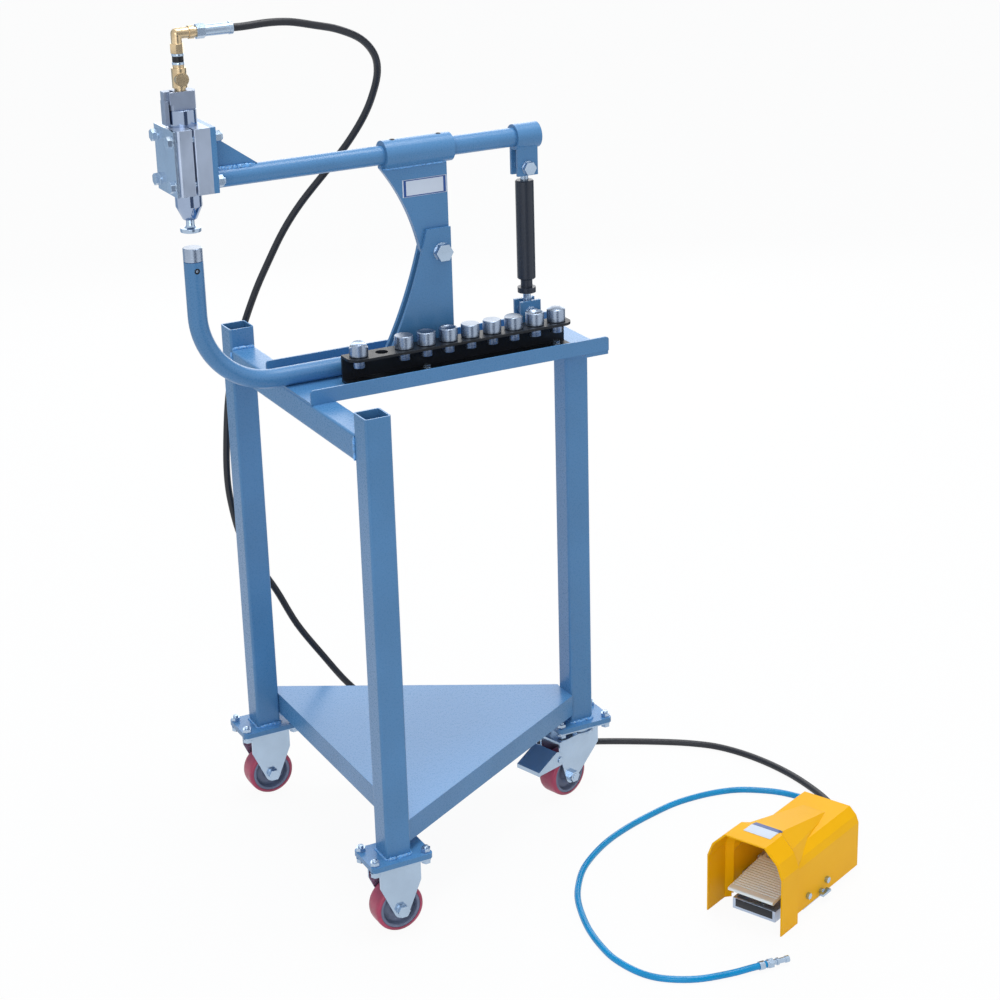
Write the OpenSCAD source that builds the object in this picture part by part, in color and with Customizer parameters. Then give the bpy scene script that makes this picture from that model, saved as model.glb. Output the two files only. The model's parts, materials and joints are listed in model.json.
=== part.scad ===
// Pneumatic planishing hammer on a three-legged wheeled stand, with its foot valve.
// Millimetres. +Z is up, +X runs from the hammer to the right leg, -Y faces the operator.
// The construction is laid out from the middle of the crossbeam at floor level, and on_floor()
// moves it so that the origin lies under the middle of the whole machine.

/* [Stand] */
// Outer width of the square leg tube
leg_w = 40; // [34:1:46]
// Wall of the square tube
leg_wall = 2.5; // [1.5:0.5:4]
// Outer corner radius of the square tube
leg_corner = 4; // [3:0.5:6]
// Distance between the two left legs, centre to centre
leg_spread = 496; // [440:2:560]
// Distance from the crossbeam to the right leg, centre to centre
leg_reach = 450; // [440:2:500]
// Height of the open tops of the two left legs
leg_top = 806; // [790:1:860]
// Height of the tray's underside
tray_h = 774; // [740:1:780]
// Length of a leg's foot plate, along X
foot_plate_l = 98; // [90:1:120]
// Width of a leg's foot plate, along Y
foot_plate_w = 70; // [66:1:90]
// Thickness of a leg's foot plate
foot_plate_t = 8; // [4:1:12]
// Thickness of the cross plate between the right leg and the tray
pad_t = 6; // [3:1:10]

/* [Tray and shelf] */
// Width of the channel tray
tray_w = 168; // [150:1:190]
// Thickness of the tray's sheet
tray_t = 3; // [2:0.5:4]
// Height of the tray's upturned edges
tray_edge = 22; // [15:1:35]
// Length of the tray past the crossbeam's middle
tray_over = 21; // [20:1:50]
// Height of the shelf's top
shelf_h = 178; // [165:1:320]
// Height of the shelf's downturned edges
shelf_lip = 35; // [20:1:38]
// Thickness of the shelf's sheet
shelf_t = 2; // [1.5:0.5:4]
// Half width of the shelf where it meets the right leg
shelf_nose = 25; // [21:1:40]

/* [Tubes] */
// Distance of the anvil tube and the arm behind the tray's middle
mast_y = 15; // [12:1:20]
// Outside diameter of the anvil tube and of the arm
pipe_d = 28; // [26:1:29]
// Wall of the anvil tube and of the arm
pipe_wall = 3; // [2:0.5:4]
// Distance of the hammer's axis from the crossbeam
hammer_reach = 146; // [140:1:165]
// Bend radius of the anvil tube's middle line
bend_r = 112; // [90:1:130]
// Height of the arm's middle line above the tray's underside
arm_rise = 322; // [314:1:332]
// Depth of the working anvil's face below the arm's middle line
anvil_drop = 93; // [88:1:100]

/* [Pivot and strut] */
// Distance of the arm's pivot from the right leg
pivot_back = 213; // [206:1:220]
// Depth of the arm's pivot below the arm's middle line
pivot_drop = 153; // [146:1:158]
// Diameter of the pivot bolt
pivot_d = 16; // [12:1:18]
// Thickness of the arm's web plate
web_t = 10; // [8:1:12]
// Thickness of each lower pivot plate
cheek_t = 6; // [4:1:8]
// Distance of the strut from the right leg
strut_back = 66; // [62:1:72]
// Height of the strut's lower pin above the anvil tube's middle line
strut_low_rise = 34; // [33:1:40]
// Drop of the strut's upper pin below the arm's middle line
strut_top_drop = 46; // [44:1:50]
// Diameter of the strut's two pins
strut_pin_d = 12; // [10:1:12]
// Outside diameter of the strut's turning sleeve
strut_sleeve_d = 28; // [24:1:32]
// Distance of the sleeve's top below the strut's upper pin
sleeve_clear = 20.5; // [20:0.5:26]
// Diameter of the strut's threaded rods
strut_rod_d = 12; // [10:1:14]
// Width of a rod end's eye, along its pin
eye_w = 14; // [10:1:16]
// Thickness of the ears that hold the rod ends
ear_t = 5; // [4:1:8]

/* [Arm sleeve] */
// Length of the sleeve that clamps the arm
arm_sleeve_l = 109; // [100:1:120]
// Outside diameter of the sleeve that clamps the arm
arm_sleeve_d = 42; // [38:1:48]
// Length of the collar at the arm's rear end
collar_l = 40; // [38:1:50]
// Outside diameter of the collar at the arm's rear end
collar_d = 38; // [36:1:44]

/* [Hammer] */
// Diameter of the hammer's barrel
barrel_d = 40; // [38:1:44]
// Bore of the hammer's barrel
barrel_bore = 22; // [20:1:26]
// Depth of the clamp blocks, along Y
clamp_deep = 76; // [76:1:90]
// Height of the clamp blocks
clamp_h = 92; // [84:1:96]
// Width of both clamp blocks with their gap, along X
clamp_w = 50; // [48:1:60]
// Gap between the clamp blocks
clamp_gap = 3; // [1:0.5:5]
// Thickness of the outer clamp plate
clamp_plate_t = 4; // [3:1:8]
// Thickness of the arm's flange plate
flange_t = 8; // [5:1:12]
// Diameter of the four clamp bolts
clamp_bolt_d = 10; // [8:1:10]
// Diameter of the upper die's face
die_d = 30; // [24:1:36]
// Diameter of the upper die's stem
stem_d = 12; // [9:1:12]
// Clear height between the die and the working anvil
die_gap = 23; // [20:1:30]
// Travel of the die in the hammer's nose
die_stroke = 8; // [4:1:10]

/* [Anvils and rack] */
// Diameter of an anvil's head
anvil_d = 28; // [26:1:33]
// Height of an anvil's head
anvil_head = 20; // [14:1:26]
// Diameter of an anvil's shank
shank_d = 18; // [14:1:18]
// Length of an anvil's shank
shank_l = 17; // [14:1:22]
// Number of places in the rack
rack_places = 10; // [10:1:10]
// Distance between neighbouring places in the rack
rack_pitch = 36.5; // [35:0.5:37]
// Distance of the rack's back in front of the tray's middle
rack_back = 15; // [14:1:20]
// Height of the rack above the tray
rack_h = 41; // [38:1:48]
// Depth of the rack, along Y
rack_deep = 38; // [34:1:44]
// Thickness of the rack's sheet
rack_t = 4; // [2:0.5:5]

/* [Casters] */
// Diameter of the wheels
wheel_d = 76; // [72:1:80]
// Width of the wheels
wheel_w = 34; // [28:1:36]
// Thickness of the wheels' tread
tread_t = 6; // [4:1:9]
// Height from the floor to the legs' foot plates
caster_h = 118; // [114:1:124]
// Thickness of the fork's sheet
fork_t = 3; // [2:0.5:4]
// Diameter of the wheels' axle bolts
axle_d = 10; // [8:1:12]
// Diameter of the bolts in the foot plates
plate_bolt_d = 8; // [6:1:9]
// Distance of the swivel caster's wheel from its king pin
caster_trail = 35; // [32:1:38]
// Direction of the swivel caster's wheel from its king pin
caster_turn = 197; // [190:1:205]

/* [Foot valve] */
// Distance of the guard's mouth from the crossbeam, along X
foot_x = 448; // [430:1:480]
// Distance of the guard's mouth in front of the stand's middle
foot_y = 503; // [480:1:540]
// Direction of the foot valve
foot_turn = 24; // [15:1:32]
// Length of the guard
guard_l = 236; // [230:1:260]
// Width of the guard's mouth
guard_mouth_w = 130; // [124:1:140]
// Width of the guard's body
guard_w = 112; // [108:1:118]
// Height of the guard's mouth
guard_mouth_h = 138; // [130:1:150]
// Height of the guard's rear
guard_rear_h = 104; // [96:1:116]
// Thickness of the guard's shell
guard_t = 2; // [1.5:0.5:3]
// Width of the valve's base
base_w = 74; // [66:1:80]
// Width of the treadle
treadle_w = 78; // [70:1:84]
// Length of the treadle
treadle_l = 98; // [90:1:104]
// Rise of the treadle from its front edge to its hinge, in degrees
treadle_slope = 7; // [5:1:9]

/* [Hoses] */
// Outside diameter of the black hose
black_hose_d = 11; // [9:1:12]
// Outside diameter of the blue hose
blue_hose_d = 10; // [8:1:10]

/* [Clearances] */
// Radial clearance of a hinge pin in its bore
pin_fit = 0.05; // [0.02:0.01:0.1]
// Clearance between neighbouring pieces that move past each other
run_gap = 0.3; // [0.3:0.05:0.5]
// Radial clearance of a bolt in its hole
bolt_fit = 0.2; // [0.1:0.05:0.4]
// Radial clearance of the strut's upper pin, whose link is left open
open_fit = 0.6; // [0.5:0.05:0.8]

/* [Hidden] */
$fn = 48;

paint = "#5E86B2";
zinc = "#C3C8CC";
steel = "#A4A8AC";
brass = "#B8975A";
black = "#1E1F22";
yellow = "#F4B400";
alloy = "#B9BDC2";
red = "#A8324A";

// Heights and places that follow from the sizes above
foot_plate_top = caster_h + foot_plate_t;
leg_y = leg_spread / 2;
arm_h = tray_h + arm_rise;
anvil_h = arm_h - anvil_drop;
pivot_x = leg_reach - pivot_back;
pivot_h = arm_h - pivot_drop;
strut_x = leg_reach - strut_back;
tray_end = leg_reach + leg_w / 2;
tray_floor = tray_h + tray_t;
pipe_h = tray_floor + pipe_d / 2;
pipe_bore = pipe_d - 2 * pipe_wall;
anvil_seat = anvil_h - anvil_head;
anvil_socket = shank_l + 16;
strut_low_h = pipe_h + strut_low_rise;
strut_top_h = arm_h - strut_top_drop;
ear_in = eye_w / 2 + run_gap;
ear_out = ear_in + ear_t;
ear_w = 34;
cheek_in = web_t / 2 + run_gap;
cheek_out = cheek_in + cheek_t;
cheek_top = pivot_h + 36;
cheek_right = pivot_x + 16;
pipe_end = strut_x + ear_w / 2 + 5;
sleeve_x = pivot_x - 31;
collar_x = strut_x + 2;
arm_end = collar_x + collar_l / 2;
clamp_low = arm_h - pipe_d / 2 + 2;
clamp_mid = clamp_low + clamp_h / 2;
clamp_top = clamp_low + clamp_h;
clamp_left = -hammer_reach - clamp_w / 2;
clamp_right = -hammer_reach + clamp_w / 2;
flange_right = clamp_right + flange_t;
bolt_rise = 31;
bolt_side = clamp_deep / 2 - 7.5;
die_face = anvil_h + die_gap;
die_t = 6;
nose_end = die_face + die_t + die_stroke + 4;
nose_shoulder = nose_end + 19;
nose_floor = nose_end + 14;
shank_top = nose_floor + 22;
barrel_top = clamp_top + 23;
head_h = 25;
head_top = barrel_top + head_h;
lever_x = -hammer_reach - 17;
lever_h = head_top - 8;
regulator_top = head_top + 35;
elbow_low = regulator_top + 16;
elbow_h = elbow_low + 26;
hose_end_x = -hammer_reach + 81;
rack_row = 1 - rack_back - rack_deep / 2;
rack_first = pivot_x - 158;
rack_top = tray_floor + rack_h;
rack_low_end = rack_first - 21;
rack_high_end = rack_first + (rack_places - 1) * rack_pitch + 21;
bolt_places = [3, rack_places - 1];
axle_h = wheel_d / 2;
fork_in = wheel_w / 2 + 2.5;
fork_out = fork_in + fork_t;
fork_plate_t = 3;
crown_h = caster_h - fork_plate_t - 8;
plate_bolt_x = foot_plate_l / 2 - 8;
plate_bolt_y = foot_plate_w / 2 - 10;
brake_in = fork_out + run_gap;
brake_out = brake_in + 2.5;
brake_hinge = [64, 78];
brake_tip = 114;
sleeve_low = strut_low_h + 52;
strut_sleeve_l = strut_top_h - sleeve_clear - sleeve_low;
ring_low = sleeve_low - 21;
flap_l = 54;
hood_end = 198;
hood_tip_w = 46;
valve_back = 228;
port_h = 30;
port_side = 16;
treadle_hinge_s = 118;
treadle_hinge_h = 40;
spring_low = 4;
spring_s = 60;
spring_r = 8;
spring_turns = 6;
spring_wire = 2.2;
spring_l = treadle_hinge_h - 2.5 - spring_low;
base_side = guard_w / 2 - guard_t - run_gap;
foot_dir = [cos(foot_turn), sin(foot_turn), 0];
foot_side = [-sin(foot_turn), cos(foot_turn), 0];
foot_place = [foot_x, -foot_y, 0];

// The middle of the machine on the floor, without the loose hoses
low_x = clamp_left - clamp_plate_t - 7;
high_x = foot_x + guard_l * foot_dir[0] + guard_w / 2 * foot_dir[1];
low_y = -foot_y - guard_mouth_w / 2 * foot_dir[0];
high_y = leg_y + foot_plate_w / 2;
origin_x = round((low_x + high_x) / 2);
origin_y = round((low_y + high_y) / 2);

// Routes of the two hoses, laid by hand, in the same frame as the stand
black_start = [hose_end_x, mast_y, elbow_h];
black_route = [
    [-46, 15, 1301], [-10, 17, 1302], [24, 21, 1299], [62, 27, 1290], [104, 40, 1278], [146, 57, 1258],
    [176, 79, 1230], [190, 101, 1199], [192, 125, 1163], [187, 150, 1126], [171, 175, 1085],
    [148, 203, 1042], [112, 231, 988], [86, 248, 943], [63, 263, 892], [44, 275, 846], [24, 285, 790],
    [7, 291, 735], [-6, 293, 676], [-14, 293, 610], [-18, 292, 550], [-15, 291, 500], [-3, 290, 440],
    [20, 288, 390], [50, 284, 335], [80, 278, 270], [120, 270, 206], [157, 262, 151], [196, 253, 108],
    [240, 240, 72], [300, 219, 42], [368, 190, 20], [436, 160, 9], [500, 131, 6], [556, 102, 6],
    [606, 72, 6], [650, 43, 6], [684, 17, 6], [715, -15, 6], [739, -58, 6], [756, -108, 6],
    [766, -160, 6], [769, -210, 6], [767, -258, 6], [758, -300, 7], [742, -338, 10], [720, -369, 17]
];
blue_route = [
    [702, -364, 20], [724, -342, 9], [740, -312, 5], [746, -278, 5], [741, -246, 5], [728, -219, 5],
    [708, -194, 5], [673, -167, 5], [642, -154, 5], [600, -147, 5], [550, -148, 5], [500, -159, 5],
    [450, -174, 5], [402, -194, 5], [360, -219, 5], [320, -251, 5], [290, -287, 5], [266, -326, 5],
    [248, -372, 5], [236, -416, 5], [230, -460, 5], [230, -500, 5], [242, -545, 5], [264, -576, 5],
    [304, -601, 5], [352, -614, 6]
];
nipple_at = [408, -622, 8];
nipple_dir = [0.995, -0.1, 0];

// Moves the construction onto the origin
module on_floor() {
    translate([-origin_x, -origin_y, 0]) children();
}

// Places what stands on the anvil tube's middle plane
module on_mast() {
    on_floor() translate([0, mast_y, 0]) children();
}

// Places the foot valve: its own X runs from the guard's mouth to its rear
module at_foot() {
    on_floor() translate(foot_place) rotate(foot_turn) children();
}

// Places the swivel caster: its own X runs from the king pin to the wheel
module at_swivel(turn = caster_turn) {
    on_floor() translate([leg_reach, 0, 0]) rotate(turn) children();
}

// Round bar along X between two places
module bar_x(d, from, to) {
    translate([from, 0, 0]) rotate([0, 90, 0]) cylinder(d = d, h = to - from);
}

// Round bar along Y between two places
module bar_y(d, from, to) {
    translate([0, from, 0]) rotate([-90, 0, 0]) cylinder(d = d, h = to - from);
}

// Hexagonal bar along Z
module hex_bar(flats, h) {
    cylinder(d = flats / cos(30), h = h, $fn = 6);
}

// Rectangle with four round corners
module round_rect(l, w, r) {
    square([l - 2 * r, w], center = true);
    square([l, w - 2 * r], center = true);
    for (x = [-1, 1], y = [-1, 1]) translate([x * (l / 2 - r), y * (w / 2 - r)]) circle(r);
}

// Bolt along +Z from its head's seat, with a washer under the head and a nut at its far end
module bolt(d, grip, flats, tail = 3) {
    translate([0, 0, -1.5]) cylinder(d = flats * 1.15, h = 1.5);
    translate([0, 0, -1.5 - 0.65 * d]) hex_bar(flats, 0.65 * d);
    cylinder(d = d, h = grip + 0.8 * d + tail);
    translate([0, 0, grip]) hex_bar(flats, 0.8 * d);
}

// Points of a convex outline, moved inwards by a distance
function unit(v) = v / norm(v);
function left_of(v) = [-v[1], v[0]];
function inset(p, d) = [
    for (i = [0:len(p) - 1])
        let (
            before = unit(p[i] - p[(i + len(p) - 1) % len(p)]),
            after = unit(p[(i + 1) % len(p)] - p[i]),
            a = left_of(before),
            b = left_of(after)
        )
        p[i] + d * (a + b) / (1 + a * b)
];

// Square tube standing on the drawing plane
module square_tube(l) {
    inner_w = leg_w - 2 * leg_wall;
    linear_extrude(l) difference() {
        round_rect(leg_w, leg_w, leg_corner);
        round_rect(inner_w, inner_w, leg_corner - leg_wall + 0.5);
    }
}

// Foot plate of a leg with its four bolt holes, top face at zero
module foot_plate() {
    translate([0, 0, -foot_plate_t]) linear_extrude(foot_plate_t) difference() {
        round_rect(foot_plate_l, foot_plate_w, 7);
        for (x = [-1, 1], y = [-1, 1])
            translate([x * plate_bolt_x, y * plate_bolt_y]) circle(d = plate_bolt_d + 2 * bolt_fit);
    }
}

// Leg with its welded foot plate, open at the top
module leg(top) {
    translate([0, 0, foot_plate_top]) {
        square_tube(top - foot_plate_top);
        foot_plate();
    }
}

module leg_back() {
    color(paint) on_floor() translate([0, leg_y, 0]) leg(leg_top);
}

module leg_front() {
    color(paint) on_floor() translate([0, -leg_y, 0]) leg(leg_top);
}

// Right leg with the cross plate that carries the tray
module leg_right() {
    color(paint) on_floor() translate([leg_reach, 0, 0]) {
        leg(tray_h - pad_t);
        translate([0, 0, tray_h - pad_t / 2]) cube([leg_w, tray_w - 4, pad_t], center = true);
    }
}

module crossbeam() {
    color(paint) on_floor() translate([0, leg_y - leg_w / 2, tray_h - leg_w / 2])
        rotate([90, 0, 0]) square_tube(leg_spread - leg_w);
}

// One upturned edge of the tray, drawn along X with round upper corners
module tray_flange() {
    corner_r = 5;
    l = tray_end + tray_over;
    rotate([90, 0, 0]) linear_extrude(tray_t) {
        square([l, tray_edge - corner_r]);
        translate([corner_r, 0]) square([l - 2 * corner_r, tray_edge]);
        for (x = [corner_r, l - corner_r]) translate([x, tray_edge - corner_r]) circle(corner_r);
    }
}

module tray() {
    color(paint) on_floor() difference() {
        translate([-tray_over, 0, tray_h]) {
            translate([0, -tray_w / 2, 0]) cube([tray_end + tray_over, tray_w, tray_t]);
            translate([0, -tray_w / 2 + tray_t, 0]) tray_flange();
            translate([0, tray_w / 2, 0]) tray_flange();
        }
        for (place = bolt_places) translate([rack_first + place * rack_pitch, rack_row, tray_h - 1])
            cylinder(d = 6 + 2 * bolt_fit, h = tray_t + 2);
    }
}

// Three-sided sheet shelf between the legs, its edges bent down
module shelf() {
    reach = leg_reach - leg_w / 2;
    side = leg_y + leg_w / 2 - 6;
    outline = [[leg_w / 2, -side], [reach, -shelf_nose], [reach, shelf_nose], [leg_w / 2, side]];
    color(paint) on_floor() translate([0, 0, shelf_h - shelf_lip]) difference() {
        linear_extrude(shelf_lip) polygon(outline);
        translate([0, 0, -1]) linear_extrude(shelf_lip - shelf_t + 1) polygon(inset(outline, shelf_t));
    }
}

// Anvil tube: post, bend and the run along the tray, with any diameter
module anvil_path(d) {
    turn_h = pipe_h + bend_r;
    translate([-hammer_reach, 0, turn_h]) cylinder(d = d, h = anvil_seat - turn_h);
    translate([bend_r - hammer_reach, 0, turn_h]) rotate([90, 0, 0])
        rotate_extrude(angle = 90) translate([-bend_r, 0]) circle(d = d);
    translate([0, 0, pipe_h]) bar_x(d, bend_r - hammer_reach, pipe_end);
}

module anvil_tube() {
    solid_top = anvil_socket + 6;
    color(paint) on_mast() difference() {
        anvil_path(pipe_d);
        difference() {
            anvil_path(pipe_bore);
            translate([-hammer_reach - pipe_d, -pipe_d, anvil_seat - solid_top])
                cube([2 * pipe_d, 2 * pipe_d, solid_top + 1]);
        }
        translate([-hammer_reach, 0, anvil_seat - anvil_socket])
            cylinder(d = shank_d + 2 * bolt_fit, h = anvil_socket + 1);
        translate([-hammer_reach, 0, anvil_seat - 12]) bar_y(8 + 2 * bolt_fit, -pipe_d, 0);
    }
}

// Side view of a lower pivot plate, from the anvil tube up past the pivot, flared by an arc
module cheek_outline() {
    rise = pivot_h - pipe_h;
    foot_w = 0.829 * rise;
    flare_r = 4.684 * rise;
    difference() {
        translate([cheek_right - foot_w, pipe_h]) square([foot_w, cheek_top - pipe_h]);
        translate([cheek_right - 4.822 * rise, cheek_top + 1.059 * rise]) circle(flare_r, $fn = 180);
    }
}

// The two lower pivot plates and the strut's lower ears, welded onto the anvil tube
module pivot_cheeks() {
    color(paint) on_mast() difference() {
        for (side = [-1, 1]) {
            translate([0, side * (cheek_in + cheek_out) / 2, 0]) rotate([90, 0, 0])
                linear_extrude(cheek_t, center = true) cheek_outline();
            translate([strut_x - ear_w / 2, side * (ear_in + ear_out) / 2 - ear_t / 2, pipe_h])
                cube([ear_w, ear_t, strut_low_rise + 19]);
        }
        translate([0, 0, pipe_h]) bar_x(pipe_d, 0, pipe_end + 1);
        translate([pivot_x, 0, pivot_h]) bar_y(pivot_d + 2 * bolt_fit, -40, 40);
        translate([strut_x, 0, strut_low_h]) bar_y(strut_pin_d + 2 * bolt_fit, -40, 40);
    }
}

// Pivot bolt of the arm and the strut's lower pin
module pivot_bolts() {
    color(zinc) on_mast() {
        translate([pivot_x, -cheek_out, pivot_h]) rotate([-90, 0, 0]) bolt(pivot_d, 2 * cheek_out, 24);
        translate([strut_x, -ear_out, strut_low_h]) rotate([-90, 0, 0])
            bolt(strut_pin_d, 2 * ear_out, 18);
    }
}

// Plan of the rack's upper and lower sheets, with round front corners
module rack_plan() {
    corner_r = rack_deep * 0.45;
    l = rack_high_end - rack_low_end;
    translate([rack_low_end, -rack_back - rack_deep]) {
        translate([corner_r, 0]) square([l - 2 * corner_r, rack_deep]);
        translate([0, corner_r]) square([l, rack_deep - corner_r]);
        for (x = [corner_r, l - corner_r]) translate([x, corner_r]) circle(corner_r);
    }
}

module anvil_rack() {
    color(black) on_floor() {
        translate([0, 0, rack_top - rack_t]) linear_extrude(rack_t) difference() {
            rack_plan();
            for (place = [0:rack_places - 1])
                translate([rack_first + place * rack_pitch, rack_row])
                    circle(d = shank_d + 1);
        }
        translate([rack_low_end, -rack_back - rack_t, tray_floor])
            cube([rack_high_end - rack_low_end, rack_t, rack_h]);
        translate([0, 0, tray_floor]) linear_extrude(rack_t) difference() {
            rack_plan();
            for (place = bolt_places) translate([rack_first + place * rack_pitch, rack_row])
                circle(d = 6 + 2 * bolt_fit);
        }
    }
}

// Two bolts through the rack's foot and the tray, and the set screw of the working anvil
module rack_bolts() {
    color(zinc) {
        on_floor() for (place = bolt_places)
            translate([rack_first + place * rack_pitch, rack_row, tray_floor + rack_t])
                rotate([180, 0, 0]) bolt(6, tray_t + rack_t, 10, 12);
        on_mast() translate([-hammer_reach, 0, anvil_seat - 12])
            bar_y(8, -pipe_d / 2 + 1, -shank_d / 2);
    }
}

// Anvil with its shank, head seat at zero. Forms: flat, crown, dish, groove, dome
module anvil(form = "flat", depth = 0) {
    edge = 1;
    translate([0, 0, -shank_l]) cylinder(d = shank_d, h = shank_l);
    difference() {
        union() {
            cylinder(d1 = anvil_d - 2 * edge, d2 = anvil_d, h = edge);
            translate([0, 0, edge]) cylinder(d = anvil_d, h = anvil_head - 2 * edge);
            if (form == "dome") {
                ball = (anvil_d * anvil_d / 4 + depth * depth) / (2 * depth);
                translate([0, 0, anvil_head - edge]) intersection() {
                    cylinder(d = anvil_d, h = depth + 1);
                    translate([0, 0, depth - ball]) sphere(ball, $fn = 96);
                }
            } else {
                translate([0, 0, anvil_head - edge])
                    cylinder(d1 = anvil_d, d2 = anvil_d - 2 * edge, h = edge);
            }
        }
        if (form == "dish") {
            mouth = anvil_d / 2 - 2.5;
            ball = (mouth * mouth + depth * depth) / (2 * depth);
            translate([0, 0, anvil_head + ball - depth]) sphere(ball, $fn = 96);
        }
        if (form == "groove") {
            half = anvil_d / 2 - 1;
            roll = (half * half + depth * depth) / (2 * depth);
            translate([0, 0, anvil_head + roll - depth]) rotate(65) bar_y(2 * roll, -40, 40);
        }
    }
}

// Anvil in one of the rack's places
module rack_anvil(place, form, depth) {
    color(steel) on_floor() translate([rack_first + place * rack_pitch, rack_row, rack_top])
        anvil(form, depth);
}

module working_anvil() {
    color(steel) on_mast() translate([-hammer_reach, 0, anvil_seat]) anvil();
}

// Arm: the tube alone, from the flange to its rear end
module arm_tube() {
    color(paint) on_mast() translate([0, 0, arm_h]) difference() {
        bar_x(pipe_d, flange_right, arm_end);
        bar_x(pipe_bore, flange_right - 1, arm_end + 1);
    }
}

// Side view of the web plate under the arm's sleeve, waisted above the pivot
module web_outline() {
    waist_r = 2.059 * pivot_drop;
    top_w = 0.693 * pivot_drop;
    low_w = 0.314 * pivot_drop;
    heel_r = 1.19 * pivot_d;
    difference() {
        union() {
            translate([cheek_right - top_w, pivot_h]) square([top_w, pivot_drop]);
            translate([cheek_right - low_w, pivot_h]) square([low_w, 10]);
            translate([pivot_x - 12, pivot_h - heel_r + 4]) square([26, heel_r]);
            translate([pivot_x - 12, pivot_h - 4]) circle(heel_r - 4);
        }
        translate([pivot_x - 2.222 * pivot_drop, pivot_h - 0.379 * pivot_drop])
            circle(waist_r, $fn = 180);
    }
}

// Sleeve that clamps the arm, with its web plate
module arm_sleeve() {
    color(paint) on_mast() difference() {
        union() {
            translate([0, 0, arm_h])
                bar_x(arm_sleeve_d, sleeve_x - arm_sleeve_l / 2, sleeve_x + arm_sleeve_l / 2);
            rotate([90, 0, 0]) linear_extrude(web_t, center = true) web_outline();
        }
        translate([0, 0, arm_h])
            bar_x(pipe_d + 2 * run_gap, sleeve_x - arm_sleeve_l, sleeve_x + arm_sleeve_l);
        translate([pivot_x, 0, pivot_h]) bar_y(pivot_d + 2 * pin_fit, -40, 40);
        for (side = [-1, 1]) translate([sleeve_x + side * arm_sleeve_l * 0.34, 0, arm_h])
            cylinder(d = 8 + 2 * bolt_fit, h = arm_sleeve_d);
    }
}

// Collar on the arm's rear end, with the ears of the strut's upper pin
module rear_collar() {
    color(paint) on_mast() difference() {
        union() {
            translate([0, 0, arm_h])
                bar_x(collar_d, collar_x - collar_l / 2, collar_x + collar_l / 2);
            for (side = [-1, 1])
                translate([strut_x - ear_w / 2, side * (ear_in + ear_out) / 2 - ear_t / 2,
                    strut_top_h - 12]) cube([ear_w, ear_t, strut_top_drop + 12]);
        }
        translate([0, 0, arm_h])
            bar_x(pipe_d + 2 * pin_fit, collar_x - collar_l, collar_x + collar_l);
        translate([strut_x, 0, strut_top_h]) bar_y(strut_pin_d + 2 * bolt_fit, -40, 40);
    }
}

// Places of the four clamp bolts
module each_clamp_bolt() {
    for (y = [-1, 1], z = [-1, 1]) translate([0, y * bolt_side, clamp_mid + z * bolt_rise])
        children();
}

// Bolts of the clamp, set screws of the sleeve and the strut's upper pin
module arm_bolts() {
    grip = clamp_plate_t + clamp_w + flange_t;
    color(zinc) on_mast() {
        each_clamp_bolt() translate([clamp_left - clamp_plate_t, 0, 0]) rotate([0, 90, 0])
            bolt(clamp_bolt_d, grip, 15);
        for (side = [-1, 1])
            translate([sleeve_x + side * arm_sleeve_l * 0.34, 0, arm_h + pipe_d / 2])
                cylinder(d = 8, h = 4.5);
        translate([strut_x, -ear_out, strut_top_h]) rotate([-90, 0, 0])
            bolt(strut_pin_d, 2 * ear_out, 18);
    }
}

// Plate with the four clamp bolt holes, between two places along X
module bolted_plate(from, to) {
    difference() {
        translate([from, -clamp_deep / 2, clamp_low]) cube([to - from, clamp_deep, clamp_h]);
        each_clamp_bolt() bar_x(clamp_bolt_d + 2 * bolt_fit, from - 1, to + 1);
    }
}

// Flange of the arm with its gusset
module flange_plate() {
    gusset_low = arm_h + pipe_d / 2 + run_gap;
    color(paint) on_mast() {
        bolted_plate(clamp_right, flange_right);
        rotate([90, 0, 0]) linear_extrude(6, center = true) polygon([
            [flange_right - 2, gusset_low], [flange_right + 72, gusset_low],
            [flange_right, clamp_top - 14], [flange_right - 2, clamp_top - 14]
        ]);
    }
}

// One aluminium clamp block, bored for the hammer, its left corners rounded
module clamp_block(from, to, corner_r) {
    over = 2 * corner_r;
    difference() {
        intersection() {
            bolted_plate(from, to);
            translate([(from + to + over) / 2, 0, clamp_low])
                linear_extrude(clamp_h) round_rect(to - from + over, clamp_deep, corner_r);
        }
        translate([-hammer_reach, 0, clamp_low - 1])
            cylinder(d = barrel_d + 2 * pin_fit, h = clamp_h + 2);
    }
}

module clamp_inner() {
    color(alloy) on_mast() clamp_block(-hammer_reach + clamp_gap / 2, clamp_right, 2);
}

module clamp_outer() {
    color(alloy) on_mast() clamp_block(clamp_left, -hammer_reach - clamp_gap / 2, 7);
}

module clamp_plate() {
    color(zinc) on_mast() bolted_plate(clamp_left - clamp_plate_t, clamp_left);
}

// Hammer barrel with its tapered nose, bored for the piston and the die's stem
module hammer_barrel() {
    color(steel) on_mast() translate([-hammer_reach, 0, 0]) difference() {
        union() {
            translate([0, 0, nose_shoulder]) cylinder(d = barrel_d - 2, h = clamp_low - nose_shoulder);
            translate([0, 0, nose_end])
                cylinder(d1 = stem_d + 9, d2 = barrel_d - 2, h = nose_shoulder - nose_end);
            translate([0, 0, clamp_low]) cylinder(d = barrel_d, h = barrel_top - clamp_low);
        }
        translate([0, 0, nose_end - 1]) cylinder(d = stem_d + 2 * pin_fit, h = 40);
        translate([0, 0, nose_floor]) cylinder(d = barrel_bore, h = barrel_top - nose_floor - 8);
    }
}

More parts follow.
